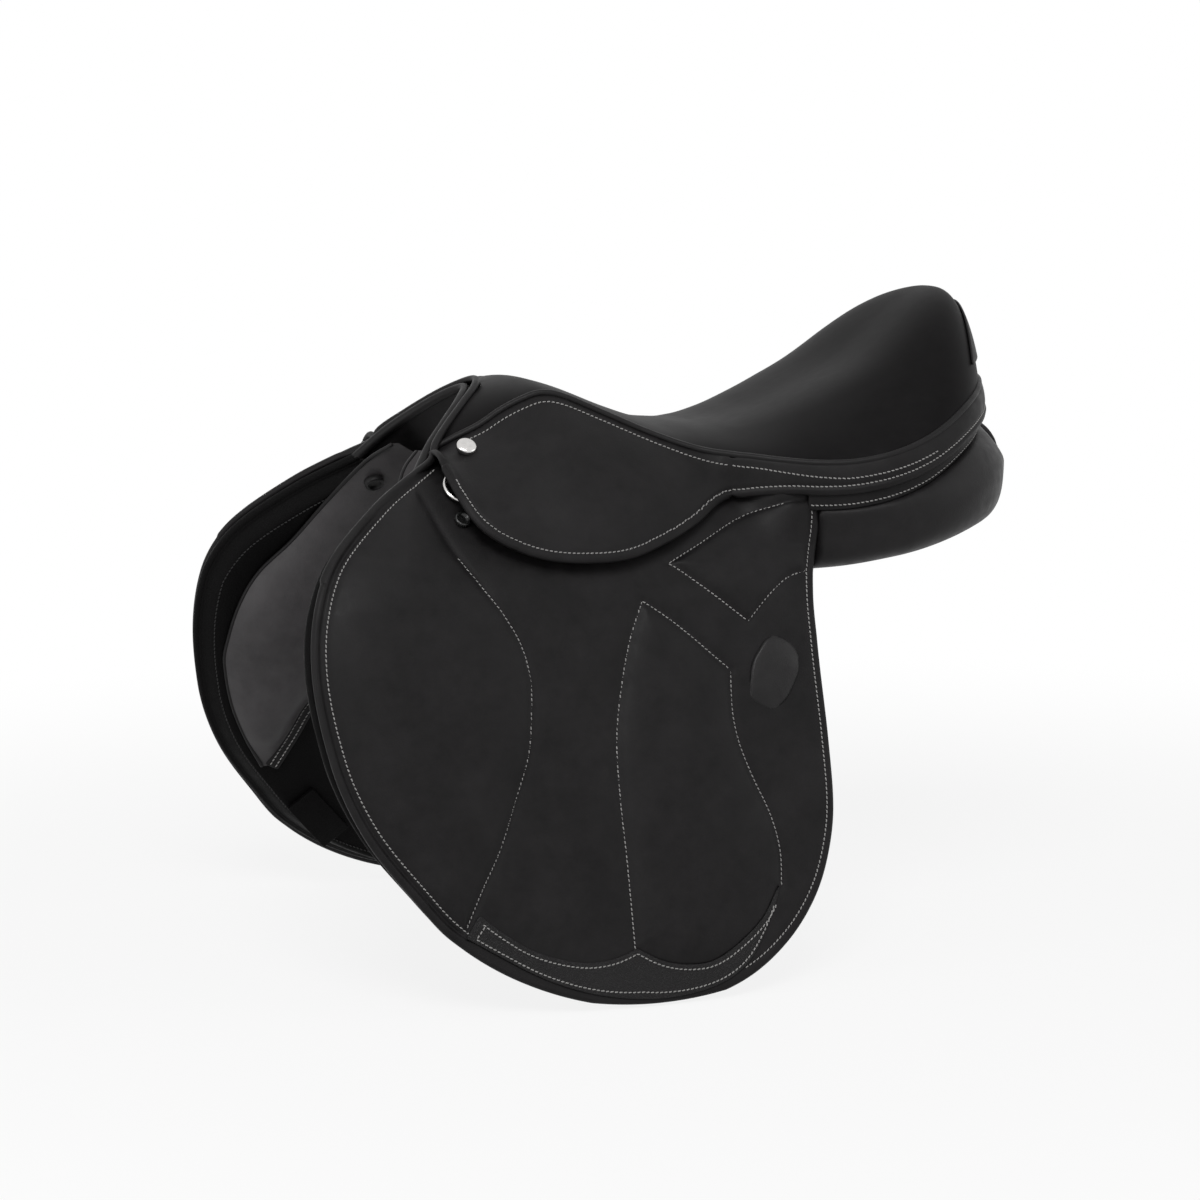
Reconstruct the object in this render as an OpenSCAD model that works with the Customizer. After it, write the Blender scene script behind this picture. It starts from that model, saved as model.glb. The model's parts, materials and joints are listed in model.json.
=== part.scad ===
// Jumping saddle: tree, padded seat, skirts, flaps, panels, girth straps and stirrup bars.
// Frame: +X to the cantle, +Y to the off side, +Z up. Every side piece is drawn on the off side (+Y).
// The origin is on the centre plane, below the seat's deepest point, level with the panels' rear bearing.

/* [Seat] */
// Length of the seat from its front corners to the back of the cantle
seat_l = 417; // [380:1:450]
// Half-width of the seat at its widest
seat_half_w = 141; // [125:1:155]
// Height of the seat's deepest point
seat_low_h = 109; // [100:1:118]
// Rise of the pommel above the deepest point
pommel_rise = 33; // [26:1:40]
// Rise of the cantle above the deepest point
cantle_rise = 92; // [75:1:105]
// Drop from the deepest point of the seat to the welt beside it
waist_drop = 17.5; // [13:0.5:22]
// Depth of the dish in the rear half of the seat
dish_d = 9; // [4:1:14]
// Thickness of the seat's leather cover
cover_t = 2.5; // [2:0.1:4]
// Radius of the welt round the seat
welt_r = 2.4; // [1.8:0.1:3.2]
// Thickness of the leather strip on the back of the cantle
strip_t = 1.6; // [1:0.1:2.5]

/* [Side] */
// Half-width over the flaps at the bearing level
base_half_w = 143; // [132:1:155]
// Outward lean of the flaps below the bearing level
lean_deg = 17.2; // [12:0.1:22]
// Height of the arch that the sides close in
arch_h = 146; // [136:1:156]
// How far the sides draw in over the height of the arch
arch_tuck_w = 90; // [82:1:98]

/* [Flap] */
// Width of the flap from front to rear
flap_w = 357; // [330:1:385]
// How far the flap reaches before the seat's front corner
flap_reach = 115; // [95:1:130]
// Depth of the flap below the bearing level
flap_drop = 254; // [230:1:280]
// Height of the flap's front corner under the pommel
flap_rise = 139; // [132:1:146]
// Thickness of the flap
flap_t = 5; // [4:0.1:6]
// Thickness of the padding on the flap
pad_t = 6; // [3:0.5:8]
// Thickness of the grained patch and of the oval patch
patch_t = 1.5; // [1:0.1:2]
// Radius of the oval patch
badge_r = 20; // [14:1:24]

/* [Skirt] */
// How far the skirt's front edge stands before the seat's front corner
skirt_lead = 5; // [3:0.5:8]
// Height of the skirt's lowest edge above the bearing level
skirt_low_z = 29; // [22:1:36]
// Height of the skirt's front edge
skirt_h = 71; // [62:1:76]
// Thickness of the skirt and of the cantle band
skirt_t = 4.5; // [3.5:0.1:5]
// Space kept between flap and skirt at the skirt's lower edge
skirt_gap = 9.5; // [9:0.5:14]
// Bulge of the skirt over the stirrup bar
skirt_bulge = 7; // [6:0.5:11]
// Height of the cantle band where it leaves the skirt
band_h = 34.5; // [30:0.5:38]
// Height of the stitched gusset band that shows under the cantle band
gusset_h = 11; // [8:0.5:14]
// Drop of the flap's bend line below the skirt's lowest edge
hinge_drop = 7; // [6:0.5:10]

/* [Panel] */
// Depth of the sweat flap's outer face behind the flap's outer face
sweat_depth = 22; // [21:0.5:26]
// Thickness of the sweat flap
sweat_t = 4; // [3:0.1:5]
// Thickness of the front panel
panel_t = 24; // [16:1:30]
// Half-width of the gullet between the rear panels
gullet_half_w = 36; // [30:1:42]
// Rise of the rear panel's underside towards the cantle
panel_lift = 60; // [45:1:70]
// How far the rear panels reach behind the seat
panel_reach = 18; // [12:1:22]
// Width of a rear panel at its rear end
panel_end_w = 12; // [8:1:20]

/* [Tree] */
// Thickness of the moulded tree shell
tree_t = 7; // [5:0.5:9]
// Least thickness of foam between tree and cover
foam_t = 5; // [3:0.5:8]
// Thickness of the steel plates and rails
plate_t = 4; // [3:0.1:5]
// Length of the head plate along the saddle
head_l = 34; // [26:1:40]
// Depth of the tree points below the bearing level
point_drop = 40; // [25:1:60]
// Width of a spring rail
rail_w = 16; // [12:1:20]

/* [Girth straps] */
// Width of a girth strap
strap_w = 25; // [22:1:28]
// Thickness of a girth strap
strap_t = 4; // [3:0.1:4.5]
// Length of a girth strap
strap_l = 205; // [180:1:215]
// Spacing of the two girth straps
strap_pitch = 70; // [66:1:78]
// Radius of a punched hole
hole_r = 3; // [2:0.1:3.5]
// Pitch of the punched holes
hole_pitch = 20; // [18:0.5:22]
// Number of holes in a strap
hole_n = 6; // [3:1:7]
// Width of the buckle guard
guard_w = 112; // [104:1:120]
// Height of the buckle guard
guard_h = 70; // [60:1:76]
// Thickness of the buckle guard
guard_t = 2.5; // [2:0.1:2.6]

/* [Fittings] */
// Length of a stirrup bar
bar_l = 92; // [80:1:100]
// Height of the bar's section
bar_h = 9; // [7:0.5:11]
// Thickness of the bar's section
bar_t = 5; // [4.5:0.1:6]
// Length of the catch behind its pin
catch_l = 20; // [15:1:24]
// Radius of the catch's pin
pin_r = 1.9; // [1.5:0.1:2.2]
// Radius of the skirt nail
nail_r = 7; // [5:0.5:8]
// Radius of the dee ring's bow, to the middle of the wire
dee_r = 12; // [10:0.5:14]
// Radius of the dee ring's wire
wire_r = 1.6; // [1.3:0.1:1.8]
// Thickness of the dee ring's leather chape
chape_t = 1.2; // [1:0.1:1.5]
// Radius of the flap stud
stud_r = 4; // [3:0.5:5]
// Radius of the pocket eyelet
eyelet_r = 6; // [4:0.5:7]
// Length of the pad keeper
keeper_l = 46; // [36:1:52]
// Width of the pad keeper
keeper_w = 24; // [18:1:28]
// Clearance between neighbouring pieces
gap = 0.4; // [0.3:0.05:0.6]

/* [Hidden] */
$fn = 32;

// Colours
black = "#262526";
black_grain = "#1e1e1e";
black_soft = "#383637";
black_seat = "#1f1f1f";
silver = "#b5b1ad";
steel = "#7d7f83";
foam = "#b9a98a";
web = "#55524c";

// Tables of shares: the first number is a share of the way, the second a share of the size it follows
front_share = 0.4724;
wide_share = 0.7122;
seat_w_shares = [[0, 0.397], [0.065, 0.426], [0.137, 0.44], [0.209, 0.468], [0.281, 0.518], [0.353,
    0.582],
    [0.425, 0.667], [0.496, 0.766], [0.568, 0.865], [0.64, 0.95], [0.7122, 1]];
pommel_shares = [[0, 0.18], [0.036, 0.42], [0.08, 0.7], [0.122, 0.88], [0.144, 0.94], [0.18, 1],
    [0.213, 0.91],
    [0.249, 0.76], [0.321, 0.39], [0.396, 0.09], [0.468, 0], [0.5, 0]];
cantle_shares = [[0.5, 0], [0.542, 0.033], [0.58, 0.087], [0.616, 0.152], [0.693, 0.326], [0.767, 0.522],
    [0.844, 0.793], [0.883, 0.913], [0.921, 0.989], [0.952, 1], [0.971, 0.957], [0.986, 0.859],
    [0.995, 0.706], [1, 0.467]];
welt_front_shares = [[0, 0.168], [0.034, 0.307], [0.074, 0.465], [0.108, 0.644], [0.142, 0.782],
    [0.175, 0.871],
    [0.209, 0.832], [0.273, 0.604], [0.353, 0.307], [0.427, 0.089], [0.487, 0.008], [0.5, 0]];
welt_rear_shares = [[0.5, 0], [0.547, -0.023], [0.607, -0.041], [0.669, -0.032], [0.739, 0.023],
    [0.794, 0.096],
    [0.839, 0.18], [0.878, 0.26], [0.916, 0.33], [0.964, 0.405], [1, 0.434]];
dish_shares = [[0, 0], [0.45, 0], [0.65, 0.6], [0.8, 1], [0.92, 0.5], [0.97, 0], [1, 0]];
band_shares = [[0.47, 0.855], [0.482, 0.823], [0.513, 0.739], [0.543, 0.678], [0.571, 0.641], [0.602, 0.626],
    [0.667, 0.607], [0.736, 0.606], [0.815, 0.603], [0.863, 0.603], [0.93, 0.62], [1, 0.64]];
skirt_low_shares = [[0, 1], [0.07, 0.83], [0.157, 0.577], [0.263, 0.352], [0.398, 0.169], [0.531, 0.042],
    [0.649, 0], [0.751, 0.02], [0.844, 0.145], [0.916, 0.29], [0.962, 0.421], [0.986, 0.469], [1, 0.48]];
skirt_out_shares = [[0, 0.4], [0.07, 1.2], [0.16, 1.5], [0.3, 1.3], [0.5, 1.05], [0.85, 1], [1, 0.45]];
skirt_bulge_shares = [[0, 0.3], [0.1, 1.2], [0.2, 1.35], [0.5, 1], [0.8, 1], [1, 0.1]];
skirt_cover_shares = [[0, 0], [0.42, 0], [0.5, 1], [0.91, 1], [0.97, 0], [1, 0]];
dee_cover_shares = [[0, 0], [0.04, 0], [0.12, 1], [0.36, 1], [0.44, 0], [1, 0]];
flap_front_shares = [[0, 0.611], [0.247, 0.328], [0.364, 0.21], [0.445, 0.148], [0.553, 0.064], [0.65,
    0.017],
    [0.77, 0.001], [0.85, 0.048], [0.905, 0.168], [0.948, 0.317], [1, 0.468]];
flap_rear_shares = [[0, 0.611], [0.16, 0.767], [0.285, 0.868], [0.378, 0.93], [0.451, 0.966], [0.534,
    0.992],
    [0.632, 0.999], [0.753, 1], [0.821, 1.008], [0.892, 1.056], [1, 1.08]];
knee_shares = [[-0.79, -0.23], [-0.69, -0.198], [-0.59, -0.155], [-0.472, -0.116], [-0.366, -0.082],
    [-0.268, -0.068], [-0.177, -0.062], [-0.09, -0.073], [-0.01, -0.101], [0.063, -0.138], [0.2, -0.19]];
mid_shares = [[-0.86, 0.117], [-0.642, 0.111], [-0.492, 0.109], [-0.343, 0.114], [-0.217, 0.134],
    [-0.094, 0.162], [0, 0.196]];
thigh_shares = [[-0.86, 0.37], [-0.736, 0.413], [-0.65, 0.416], [-0.559, 0.408], [-0.457, 0.38],
    [-0.366, 0.36], [-0.287, 0.354], [-0.189, 0.36], [-0.13, 0.321], [-0.063, 0.264], [0, 0.196]];
crescent_top_shares = [[0.24, -0.76], [0.3, -0.784], [0.353, -0.839], [0.409, -0.87], [0.465, -0.882],
    [0.515, -0.882], [0.566, -0.866], [0.611, -0.898], [0.661, -0.913], [0.711, -0.909], [0.765, -0.874],
    [0.821, -0.815], [0.857, -0.748]];
crescent_low_shares = [[0.24, -0.79], [0.294, -0.846], [0.367, -0.906], [0.44, -0.949], [0.515, -0.972],
    [0.594, -0.976], [0.675, -0.974], [0.737, -0.957], [0.782, -0.913], [0.818, -0.854], [0.857, -0.76]];
panel_front_shares = [[-0.567, 0.145], [-0.469, 0.104], [-0.358, 0.07], [-0.232, 0.05], [-0.173, 0.053],
    [-0.055, 0.073], [0.051, 0.109], [0.15, 0.165], [0.268, 0.213], [0.378, 0.255], [0.425, 0.294]];
panel_back_shares = [[-0.567, 0.155], [-0.472, 0.193], [-0.382, 0.227], [-0.276, 0.291], [-0.177, 0.37],
    [-0.098, 0.482], [-0.039, 0.608], [0.02, 0.818], [0.055, 1.01], [0.1, 1.03], [0.33, 1.01],
    [0.37, 0.9], [0.4, 0.6], [0.425, 0.342]];
panel_low_shares = [[0.6, 0.16], [0.667, 0.2], [0.731, 0.267], [0.806, 0.367], [0.897, 0.533], [0.974,
    0.7],
    [1.05, 1]];
badge_shares = [[0.15, 1.19], [0.61, 1.01], [0.92, 0.61], [0.93, 0.11], [0.69, -0.4], [0.31, -0.9],
    [-0.15, -1.19], [-0.54, -1.08], [-0.94, -0.79], [-0.92, -0.25], [-0.77, 0.33], [-0.46, 0.76], [-0.15, 1.08]];

// Smooth curve through a table of shares
function span_at(k, t, i = 0) = i >= len(k) - 2 || t < k[i + 1][0] ? i : span_at(k, t, i + 1);
function tangent(k, i) = let (a = max(i - 1, 0), b = min(i + 1, len(k) - 1))
    (k[b][1] - k[a][1]) / (k[b][0] - k[a][0]);
function smooth(k, t) = let (i = span_at(k, t), h = k[i + 1][0] - k[i][0],
    u = min(max((t - k[i][0]) / h, 0), 1))
    k[i][1] * (1 + 2 * u) * (1 - u) ^ 2 + tangent(k, i) * h * u * (1 - u) ^ 2
    + k[i + 1][1] * u ^ 2 * (3 - 2 * u) + tangent(k, i + 1) * h * u ^ 2 * (u - 1);
function between(a, b, t) = a + (b - a) * t;
function unit(v) = v / norm(v);

// Seat: half-width, rim height, welt height and surface at a share t of its length and q of its half-width
function seat_x(t) = seat_l * (t - front_share);
function seat_t(x) = x / seat_l + front_share;
function seat_w(t) = seat_half_w * (t < wide_share ? smooth(seat_w_shares, t)
    : sqrt(max(1 - ((t - wide_share) / (1 - wide_share)) ^ 2.4, 0)));
function rim_z(t) = seat_low_h + (t < 0.5 ? pommel_rise * smooth(pommel_shares, t)
    : cantle_rise * smooth(cantle_shares, t));
function welt_z(t) = seat_low_h - waist_drop + (t < 0.5
    ? (pommel_rise + waist_drop) * smooth(welt_front_shares, t)
    : (cantle_rise + waist_drop) * smooth(welt_rear_shares, t));
function crown(q) = (1 - min(abs(q), 1) ^ 2.4) ^ 0.8;
function seat_z(t, q) = welt_z(t) + (rim_z(t) - welt_z(t)) * crown(q)
    - dish_d * smooth(dish_shares, t) * max(1 - (q / 0.6) ^ 2, 0) ^ 2;
function seat_pt(t, q) = [seat_x(t), q * seat_w(t), seat_z(t, q)];
function seat_start(q) = 0.122 * (1 - abs(q) ^ 1.5);
function seat_way(s, q) = between(seat_start(q), 1, sin(90 * s));
function seat_n(t, q) = unit(cross(seat_pt(t + 0.003, q) - seat_pt(t - 0.003, q),
    seat_pt(t, q + 0.01) - seat_pt(t, q - 0.01)));
function seat_off(t, q, d) = seat_pt(t, q) + d * seat_n(t, q);
function core_z(t, q) = between(welt_z(t), seat_z(t, q), 0.45) - foam_t - cover_t;

// Side: arch of the flaps' outer face, and a point at depth d behind it
function side_y(z) = base_half_w - z * tan(lean_deg) - (z > 0 ? arch_tuck_w * (z / arch_h) ^ (5 / 3) : 0);
function side_slope(z) = tan(lean_deg) + (z > 0 ? 5 / 3 * arch_tuck_w / arch_h * (z / arch_h) ^ (2 / 3) : 0);
function side_pt(x, z, d) = let (t = side_slope(z), n = sqrt(1 + t * t))
    [x, side_y(z) + d / n, z + d * t / n];
hinge_z = skirt_low_z - hinge_drop;
flap_x = seat_x(0) - flap_reach;
function flap_k(z) = sqrt(max((z + flap_drop) / (flap_drop + flap_rise), 0));
function flap_row(k) = k * k * (flap_drop + flap_rise) - flap_drop;
function flap_front(z) = flap_x + flap_w * smooth(flap_front_shares, flap_k(z));
function flap_rear(z) = flap_x + flap_w * smooth(flap_rear_shares, flap_k(z));
function flap_top_z(e) = between(hinge_z, skirt_low_z + skirt_h, e);
function along_flap(k, z) = flap_x + flap_w * smooth(k, z / flap_drop);

// Skirt: section from the welt to the lower edge at a share k of the lobe, with the line where it bends
skirt_l = skirt_lead - seat_x(0);
function skirt_x(k) = seat_x(0) - skirt_lead + k * k * skirt_l;
function skirt_low(k) = skirt_low_z + skirt_h * smooth(skirt_low_shares, k);
skirt_z_front = skirt_low_z + 0.58 * skirt_h;
skirt_z_rear = skirt_low_z + 0.35 * skirt_h;
function bend_z(k) = between(skirt_z_front, skirt_z_rear, k * k);
function skirt_ends(k) = let (t = max(seat_t(skirt_x(k)), 0), z = skirt_low(k))
    [[seat_w(t) + welt_r + gap, welt_z(t) - welt_r],
    [side_y(z) + (skirt_gap + skirt_t) * smooth(skirt_out_shares, k), z]];
function skirt_n(e) = unit([e[0][1] - e[1][1] + gap, e[1][0] - e[0][0]]);
function over_side(p) = (p[0] - side_y(p[1])) / sqrt(1 + side_slope(p[1]) ^ 2);
function skirt_rise(k, e) = let (spare = over_side((e[0] + e[1]) / 2) - skirt_t - 2 * gap)
    max(skirt_bulge * smooth(skirt_bulge_shares, k),
    smooth(skirt_cover_shares, k) * (bar_d + bar_t - spare),
    smooth(dee_cover_shares, k) * (dee_d + wire_r + 0.2 * dee_r - spare));
function skirt_mid(k, e) = (e[0] + e[1]) / 2 + 2 * skirt_rise(k, e) * skirt_n(e);
function skirt_pt(k, v, d) = let (e = skirt_ends(k), m = skirt_mid(k, e),
    p = (1 - v) ^ 2 * e[0] + 2 * v * (1 - v) * m + v ^ 2 * e[1] + d * skirt_n(e)) [skirt_x(k), p[0],
        p[1]];
function bend_v(k) = let (e = skirt_ends(k), m = skirt_mid(k, e), a = e[0][1] - 2 * m[1] + e[1][1],
    b = 2 * (m[1] - e[0][1]), c = e[0][1] - bend_z(k), r = sqrt(max(b * b - 4 * a * c, 0)))
    bend_z(k) <= e[1][1] ? 1 : bend_z(k) >= e[0][1] ? 0 : min(max(2 * c / (r - b), 0), 1);

// Bands round the cantle: plan path and its outward direction
band_n = 20;
function band_t(j) = between(front_share, 1, sin(90 * min(j, 2 * band_n - j) / band_n));
function band_side(j) = j <= band_n ? -1 : 1;
function band_out(t) = t < wide_share ? [0, 1]
    : unit([(t - wide_share) * seat_l / ((1 - wide_share) * seat_l) ^ 2, seat_w(t) / seat_half_w ^ 2]);
function band_low(t) = welt_z(t) - band_h * smooth(band_shares, t);
function band_pt(j, o, z) = let (t = band_t(j), n = band_out(t))
    [seat_x(t) + o * n[0], band_side(j) * (seat_w(t) + o * n[1]), z];

// Closed solids from grids of points, turned the right way round
function volume(p, f) = [for (t = f) cross(p[t[1]], p[t[2]]) * p[t[0]]] * [for (t = f) 1];
module solid(p, f) {
    polyhedron(p, volume(p, f) > 0 ? [for (t = f) [t[2], t[1], t[0]]] : f, convexity = 6);
}
module sheet(o, i) {
    nr = len(o);
    nc = len(o[0]);
    n = nr * nc;
    quads = concat(
        [for (r = [0:nr - 2], c = [0:nc - 2]) let (a = r * nc + c) [a, a + 1, a + nc + 1, a + nc]],
        [for (r = [0:nr - 2], c = [0:nc - 2]) let (a = n + r * nc + c) [a, a + nc, a + nc + 1, a + 1]],
        [for (r = [0:nr - 2]) let (a = r * nc) [a, a + nc, n + a + nc, n + a]],
        [for (r = [0:nr - 2]) let (a = r * nc + nc - 1) [n + a, n + a + nc, a + nc, a]],
        [for (c = [0:nc - 2]) [n + c, n + c + 1, c + 1, c]],
        [for (c = [0:nc - 2]) let (a = n - nc + c) [a, a + 1, n + a + 1, n + a]]);
    solid([for (r = o, c = r) c, for (r = i, c = r) c],
        [for (q = quads) each [[q[0], q[1], q[2]], [q[0], q[2], q[3]]]]);
}
module loft(rings) {
    nr = len(rings);
    m = len(rings[0]);
    mid = [for (k = [0, nr - 1]) [for (p = rings[k]) 1 / m] * rings[k]];
    solid([for (r = rings, p = r) p, mid[0], mid[1]], concat(
        [for (r = [0:nr - 2], c = [0:m - 1]) let (a = r * m + c, b = r * m + (c + 1) % m)
            each [[a, b, b + m], [a, b + m, a + m]]],
        [for (c = [0:m - 1]) [nr * m, (c + 1) % m, c]],
        [for (c = [0:m - 1]) let (a = (nr - 1) * m) [nr * m + 1, a + c, a + (c + 1) % m]]));
}
module tube(path, r, sides = 8) {
    last = len(path) - 1;
    loft([for (k = [0:last]) let (t = unit(path[min(k + 1, last)] - path[max(k - 1, 0)]),
        u = unit(cross(t, [0, 0, 1])), w = cross(u, t))
        [for (a = [0:sides - 1]) path[k] + r * (cos(360 * a / sides) * u + sin(360 * a / sides) * w)]]);
}
module left() mirror([0, 1, 0]) children();
module both() {
    children();
    left() children();
}
// Local frame on the side: x along the saddle, y out of the flap, z up along it
module on_side(x, z, d = 0) {
    translate(side_pt(x, z, d)) rotate([atan(side_slope(z)), 0, 0]) children();
}
module side_strip(x0, x1, z0, z1, d0, d1, rows = 8) {
    zs = [for (j = [0:rows]) between(z0, z1, j / rows)];
    sheet([for (z = zs) [side_pt(x0, z, d0), side_pt(x1, z, d0)]],
        [for (z = zs) [side_pt(x0, z, d1), side_pt(x1, z, d1)]]);
}

// Seat
seat_ns = 20;
seat_nq = 14;
function seat_grid(i0, i1, j1) = [for (i = [i0:i1]) [for (j = [-j1:2:j1])
    let (q = 0.95 * sin(90 * j / seat_nq)) [seat_way(between(0.01, 0.978, i / seat_ns), q), q]]];
module seat_layer(i0, i1, j1, top, bottom) {
    pts = seat_grid(i0, i1, j1);
    sheet([for (r = pts) [for (p = r) seat_off(p[0], p[1], top)]], bottom == 0
        ? [for (r = pts) [for (p = r) [seat_x(p[0]), p[1] * seat_w(p[0]), core_z(p[0], p[1])]]]
        : [for (r = pts) [for (p = r) seat_off(p[0], p[1], bottom)]]);
}
module seat_cover() color(black_seat) seat_layer(0, seat_ns, seat_nq, 0, -cover_t);
module seat_foam() color(foam) seat_layer(1, seat_ns - 4, seat_nq - 2, -cover_t - gap, 0);
module tree_shell() color(web) {
    pts = [for (r = seat_grid(1, seat_ns - 4, seat_nq - 4)) [for (p = r)
        [seat_x(p[0]), p[1] * seat_w(p[0]), core_z(p[0], p[1]) - 2 * gap]]];
    sheet(pts, [for (r = pts) [for (p = r) p - [0, 0, tree_t]]]);
}
module rail(q) {
    ts = [for (i = [0:12]) between(0.26, 0.86, i / 12)];
    function under(t, e) = [seat_x(t), q * seat_w(t) + e * rail_w / 2, core_z(t, q) - tree_t - 8 * gap];
    sheet([for (t = ts) [under(t, -1), under(t, 1)]],
        [for (t = ts) [under(t, -1) - [0, 0, plate_t / 2], under(t, 1) - [0, 0, plate_t / 2]]]);
}
module spring_rail() color(steel) rail(0.5);
module seat_welt() color(black) {
    path = [for (j = [0:2 * band_n + 24]) let (e = 12, a = j < e ? j / e : j > 2 * band_n + e
        ? (2 * band_n + 2 * e - j) / e : 1, t = a < 1 ? front_share * a : band_t(j - e), s = j <=
            band_n + e ? -1 : 1)
        [seat_x(t), s * seat_w(t), welt_z(t)]];
    tube(path, welt_r);
}
module pommel_welt() color(black) {
    path = [for (j = [-12:12]) let (q = j / 12, p = seat_pt(seat_start(q), q)) p - [2 * welt_r + gap,
        0, 0]];
    tube(path, welt_r);
}
module cantle_strip() color(black) {
    pts = [for (i = [0:6]) [for (j = [-10:10]) let (q = 0.92 * j / 10)
        [between(0.985 - 0.07 * abs(q) ^ 2.6, 0.9965, i / 6), q]]];
    sheet([for (r = pts) [for (p = r) seat_off(p[0], p[1], gap + strip_t)]],
        [for (r = pts) [for (p = r) seat_off(p[0], p[1], gap)]]);
}

// Tree steel in the head
head_x = seat_x(0.107);
function arch(d, z0, z1, y2, z2) = let (side = [for (j = [0:8])
    let (p = side_pt(0, between(z0, z1, j / 8), d)) [p[1], p[2]]], half = concat(side, [[y2, z2]]))
    concat(half, [for (k = [len(half) - 1:-1:0]) [-half[k][0], half[k][1]]]);
module arch_plate(x, l, outer, inner) {
    translate([x, 0, 0]) rotate([90, 0, 90]) linear_extrude(l)
        polygon(concat(outer, [for (k = [len(inner) - 1:-1:0]) inner[k]]));
}
plate_d = 2 * flap_t;
head_top_z = core_z(0.14, 0) - tree_t - 6 * gap;
module head_plate() color(steel) {
    arch_plate(head_x, head_l, arch(-plate_d, 0.19 * arch_h, 0.71 * arch_h, 0.14 * arch_h, head_top_z),
        arch(-plate_d - plate_t, 0.19 * arch_h, 0.71 * arch_h, 0.12 * arch_h, head_top_z - plate_t));
}
lining_d = plate_d + plate_t + gap;
module gullet_plate() color(steel) {
    arch_plate(head_x, head_l, arch(-lining_d, 0.42 * arch_h, 0.69 * arch_h, 0.12 * arch_h, head_top_z
        - plate_t - gap),
        arch(-lining_d - plate_t, 0.42 * arch_h, 0.69 * arch_h, 0.1 * arch_h, head_top_z - 2 * plate_t
            - gap));
}
module gullet_lining() color(black_grain) {
    arch_plate(seat_x(0.1), 1.4 * head_l, arch(-lining_d - plate_t - gap, 0.66 * arch_h, 0.69 * arch_h,
        0.1 * arch_h,
        head_top_z - 2 * plate_t - 2 * gap), arch(-lining_d - plate_t - gap - cover_t, 0.66 * arch_h,
            0.69 * arch_h,
        0.09 * arch_h, head_top_z - 2 * plate_t - 2 * gap - cover_t));
}
module tree_point() color(steel) side_strip(head_x, head_x + head_l, 0.19 * arch_h - gap, -point_drop,
    -plate_d, -plate_d - plate_t);

// Bands and skirts
module u_band(top_o, low_o, thick, rise, drop, j0 = 0) {
    js = [j0:2 * band_n - j0];
    sheet([for (j = js) [band_pt(j, top_o, rise(band_t(j))), band_pt(j, low_o, drop(band_t(j)))]],
        [for (j = js) [band_pt(j, top_o - thick, rise(band_t(j))), band_pt(j, low_o - thick,
            drop(band_t(j)))]]);
}
module cantle_band() color(black) u_band(welt_r + gap, skirt_t, skirt_t,
    function (t) welt_z(t) - welt_r - gap, function (t) band_low(t));
module gusset_band() color(black_grain) u_band(-gap, -gap, cover_t,
    function (t) band_low(t) + 2 * gap, function (t) band_low(t) - gusset_h, 3);
module skirt_grid(k0, k1, upper) {
    ks = [for (i = [0:24]) between(k0, k1, i / 24)];
    nv = 5;
    function v_of(k, j) = let (b = bend_v(k)) upper ? between(0, b, j / nv) : between(b, 1, j / nv);
    function shift(k) = [0, 0, upper || bend_v(k) >= 1 ? 0 : -gap];
    sheet([for (k = ks) [for (j = [0:nv]) skirt_pt(k, v_of(k, j), 0) + shift(k)]],
        [for (k = ks) [for (j = [0:nv]) skirt_pt(k, v_of(k, j), -skirt_t) + shift(k)]]);
}
module skirt_top() color(black) skirt_grid(0.02, 0.995, true);
module skirt() color(black) skirt_grid(0.165, 0.932, false);

// Flaps and what is sewn to them
module flap() color(black) {
    zs = [for (j = [0:26]) j == 0 ? hinge_z - gap : flap_row(between(flap_k(hinge_z), 0.035, j / 26))];
    sheet([for (z = zs) [side_pt(flap_front(z), z, 0), side_pt(flap_rear(z), z, 0)]],
        [for (z = zs) [side_pt(flap_front(z), z, -flap_t), side_pt(flap_rear(z), z, -flap_t)]]);
}
module flap_top() {
    lead = skirt_x(0) - gap;
    front = [for (e = [0.06, 0.15, 0.29, 0.45, 0.6, 0.78, 0.95])
        [min(flap_front(flap_top_z(e)), lead - (1 - e) * flap_t), e]];
    rear = [[lead + 2 * gap, 0.8], [bar_x - 2.2 * lug_l, 0.8], [bar_x - 2 * lug_l, 0.36],
        [bar_x + bar_l / 2, 0.36], [bar_x + bar_l + lug_l / 2, 0.36], [bar_x + bar_l + lug_l, 0.42], [0, 0.42], [3 * flap_t, 0.55],
        [7 * flap_t, 0.58], [flap_rear(hinge_z) + flap_t, 0.6]];
    function grid(d) = [for (c = concat(front, rear)) [for (j = [0:4])
        side_pt(c[0], between(hinge_z, flap_top_z(c[1]), j / 4), d)]];
    color(black) sheet(grid(0), grid(-flap_t));
}
// Pad on the flap between a front and a rear line, with a crown and drawn-in edges
module pad(z0, z1, front, rear, thick, rows = 14, cols = 8) {
    function dome(u, v) = thick * (0.25 + 0.75 * (1 - (2 * u - 1) ^ 4) * (1 - (2 * v - 1) ^ 4));
    function grid(base, share) = [for (r = [0:rows]) let (z = between(z0, z1, r / rows), a = front(z),
        b = rear(z))
        [for (c = [0:cols]) side_pt(between(a, b, c / cols), z, base + share * dome(c / cols, r /
            rows))]];
    sheet(grid(gap, 1), grid(gap, 0));
}
module knee_pad() color(black) pad(hinge_z - pad_t, -0.74 * flap_drop, function (z) flap_front(z) + 2 *
    flap_t,
    function (z) max(flap_x + flap_w * (0.43 + smooth(knee_shares, z / flap_drop)), flap_front(z) + 3 *
        flap_t), pad_t);
module thigh_pad() color(black) pad(-0.03 * flap_drop, -0.73 * flap_drop,
    function (z) flap_x + flap_w * (0.45 + smooth(mid_shares, z / flap_drop)),
    function (z) flap_x + flap_w * (0.46 + smooth(thigh_shares, z / flap_drop)), pad_t);
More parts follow.
